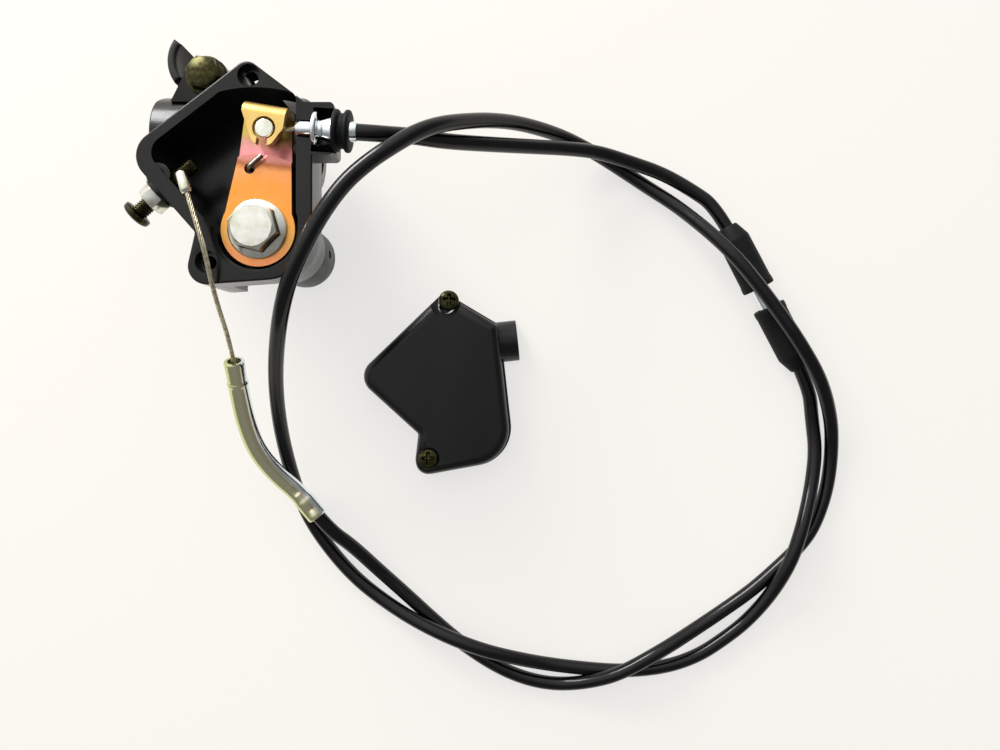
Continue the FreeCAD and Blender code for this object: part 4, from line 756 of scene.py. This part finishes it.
def cross_screw(size, tip_mm, way, columns=144):
    """A rolled thread of triangular ridges, then a pan head whose top sinks in a cross."""
    angle = np.linspace(0.0, 2.0 * math.pi, columns, endpoint=False)
    along = np.arange(0.0, size["length"], THREAD_PITCH_MM / 8.0)
    phase = (along[:, None] / THREAD_PITCH_MM - angle[None, :] / (2.0 * math.pi)) % 1.0
    ridge = 1.0 - np.abs(2.0 * phase - 1.0)
    root = size["radius"] - THREAD_DEPTH_MM
    taper = np.clip(along / 0.8, 0.0, 1.0)[:, None]
    shank_r = (root + THREAD_DEPTH_MM * np.clip(ridge * 1.25, 0.0, 1.0)) * (0.82 + 0.18 * taper)
    shank_z = np.repeat(along[:, None], columns, 1)
    part = np.r_[0.62, 0.9, 1.0, 1.0, np.linspace(0.985, 0.0, 44)]
    head_r = np.repeat(part[:, None] * size["head"], columns, 1)
    dome = size["head_h"] * (0.42 + 0.58 * np.sqrt(np.clip(1.0 - part ** 2, 0.0, 1.0)) ** 0.9)
    dome[:4] = (0.0, 0.0, 0.12, size["head_h"] * 0.38)
    head_z = np.repeat(dome[:, None], columns, 1)
    x, y = head_r * np.cos(angle), head_r * np.sin(angle)
    reach, half, soft = size["head"] * 0.56, size["head"] * 0.145, 0.12

    def inside(a, b):
        return 1.0 / (1.0 + np.exp((np.abs(a) - half) / soft * 2.0)) / (1.0 + np.exp((np.abs(b) - reach) / soft))

    recess = np.maximum(inside(x, y), inside(y, x)) * size["head_h"] * 0.62
    recess[:4] = 0.0
    tip = np.zeros((1, columns))
    radius = np.concatenate([tip, shank_r, np.full((1, columns), root), head_r])
    height = np.concatenate([tip, shank_z, np.full((1, columns), size["length"]),
                             size["length"] + head_z - recess])
    local = np.stack([radius * np.cos(angle), radius * np.sin(angle), height], -1)
    return local @ basis(way) / 1000.0 + metres(tip_mm)


stop_screw = surface("stop_screw", cross_screw(STOP_SIZE_MM, STOP_TIP_MM, STOP_WAY), olive_zinc, sharp=60.0)
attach(stop_screw, "limiter")
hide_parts("limiter_screw")

COVER_AT_MM = (60.0, -62.7)
COVER_TURN = math.radians(6.3)
PORT_ROOT_MM = 19.0
PORT_SHARE = 0.6


def on_cover(x, y, z):
    """A point drawn in the cover's own outline, placed where the cover lies."""
    c, s = math.cos(COVER_TURN), math.sin(COVER_TURN)
    return (COVER_AT_MM[0] + x * c - y * s, COVER_AT_MM[1] + x * s + y * c, z)


SEAT_Z_MM = 10.3
LEAN = math.radians(15.0)
LEAN_TOWARDS = math.radians(35.0)
lift = 0.3 + COVER_SIZE_MM["length"] * math.cos(LEAN) + COVER_SIZE_MM["radius"] * math.sin(LEAN)
aside = (lift - 5.5) * math.tan(LEAN)
head_at = np.array(on_cover(-1.7 + aside * math.cos(LEAN_TOWARDS), 45.3 + aside * math.sin(LEAN_TOWARDS),
                            lift))
lean_way = np.array([math.sin(LEAN) * math.cos(LEAN_TOWARDS + COVER_TURN),
                     math.sin(LEAN) * math.sin(LEAN_TOWARDS + COVER_TURN), math.cos(LEAN)])
low_screw = surface("cover_screw_low",
                    cross_screw(COVER_SIZE_MM, on_cover(-14.3, -10.2, SEAT_Z_MM - 9.8), (0.02, 0.01, 1)),
                    olive_zinc, sharp=60.0)
high_screw = surface("cover_screw_high", cross_screw(COVER_SIZE_MM, head_at - lean_way * 9.8, lean_way),
                     olive_zinc, sharp=60.0)
for piece, node in ((low_screw, "lower_cover_screw"), (high_screw, "upper_cover_screw")):
    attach(piece, "housing")
    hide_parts(node)

# Cover
# Injection-moulded ABS from a spark-eroded mould: satin black, rounded shoulders and a fine
# even grain. It lies on its open side.
SPARK_GRAIN_MM = 0.45

moulded_abs, tree, shader = finish("moulded_satin_abs", {"IOR": 1.52, "Specular IOR Level": 0.3})
grain = noise(tree, SPARK_GRAIN_MM, 2.0)
flow = noise(tree, 22.0, 3.0)
tree.links.new(ramp(tree, flow.outputs[0], [(0.3, "#060707"), (0.7, "#0c0d0e")]).outputs[0],
               shader.inputs["Base Color"])
tree.links.new(spread(tree, flow.outputs[0], 0.26, 0.36).outputs[0], shader.inputs["Roughness"])
bump = add(tree, "ShaderNodeBump", None, {"Height": grain.outputs[0], "Distance": 0.00004, "Strength": 0.35})
tree.links.new(bump.outputs[0], shader.inputs["Normal"])


def shorter_port(points):
    """The cable port ends a little nearer to the cover's wall."""
    c, s = math.cos(COVER_TURN), math.sin(COVER_TURN)
    x, y = points[:, 0] - COVER_AT_MM[0], points[:, 1] - COVER_AT_MM[1]
    along, across = x * c + y * s, y * c - x * s
    along = np.where(along > PORT_ROOT_MM, PORT_ROOT_MM + (along - PORT_ROOT_MM) * PORT_SHARE, along)
    return np.stack([COVER_AT_MM[0] + along * c - across * s, COVER_AT_MM[1] + along * s + across * c,
                     points[:, 2]],
                    axis=1)


dressed("cover", moulded_abs, 0.3, fitted=shorter_port)

# Return spring and the wire at the arm
# Oiled spring wire wound round the boss: its foot stands in the floor, its leg comes up
# through the arm and folds over. The short bare wire runs from the arm's barrel to the
# ferrule.
SPRING_MM = {"radius": 10.3, "wire": 0.7, "low": 45.3, "pitch": 1.9, "foot": 42.0, "start": -90.0,
             "turns": 5.3651}
SPRING_HOLE_MM = (-2.5, 18.4)
SPRING_END_MM = (1.9, 22.2, 61.9)

# Spring wire: blued steel with a thin film of oil, brighter where the leg rubs.
spring_steel, tree, shader = finish("oiled_spring_wire", {"Metallic": 1.0, "Roughness": 0.24})
oil = noise(tree, 3.0, 2.0)
tree.links.new(ramp(tree, oil.outputs[0], [(0.3, "#4a4842"), (0.7, "#8d8a80")]).outputs[0],
               shader.inputs["Base Color"])


def spring_line():
    """Foot, helix and leg as one row of points, with its corners eased by a running mean."""
    turns = np.linspace(0.0, SPRING_MM["turns"], 700)
    angle = np.radians(SPRING_MM["start"]) + 2.0 * math.pi * turns
    coil = np.stack([SPRING_MM["radius"] * np.cos(angle), SPRING_MM["radius"] * np.sin(angle),
                     SPRING_MM["low"] + SPRING_MM["pitch"] * turns], axis=1)
    foot = np.array([[coil[0, 0], coil[0, 1], SPRING_MM["foot"]]])
    corners = np.array([[*SPRING_HOLE_MM, coil[-1, 2]], [*SPRING_HOLE_MM, SPRING_END_MM[2]], SPRING_END_MM])
    path = even(np.concatenate([foot, coil, corners]), 0.25)
    weight = np.ones(7) / 7.0
    padded = np.concatenate([np.repeat(path[:1], 3, 0), path, np.repeat(path[-1:], 3, 0)])
    return np.stack([np.convolve(padded[:, axis], weight, "valid") for axis in range(3)], axis=1)


spring = surface("return_spring_wire", swept(metres(spring_line()), SPRING_MM["wire"] / 1000.0, columns=16),
                 spring_steel)
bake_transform(spring)
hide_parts("return_spring")

BARREL_AT_MM = np.array([3.9, 28.5, 64.0])
tip_at_mm = np.array(FERRULE_FROM_MM) + ferrule_way * 1.0
short_path = metres(BARREL_AT_MM + np.linspace(0.0, 1.0, 60)[:, None] * (tip_at_mm - BARREL_AT_MM))
short_wire = surface("arm_wire_strand", rope(short_path, WIRE_R_MM / 1000.0, LAY_MM / 1000.0), strand_steel,
                     sharp=70.0)
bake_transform(short_wire)
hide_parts("arm_wire")
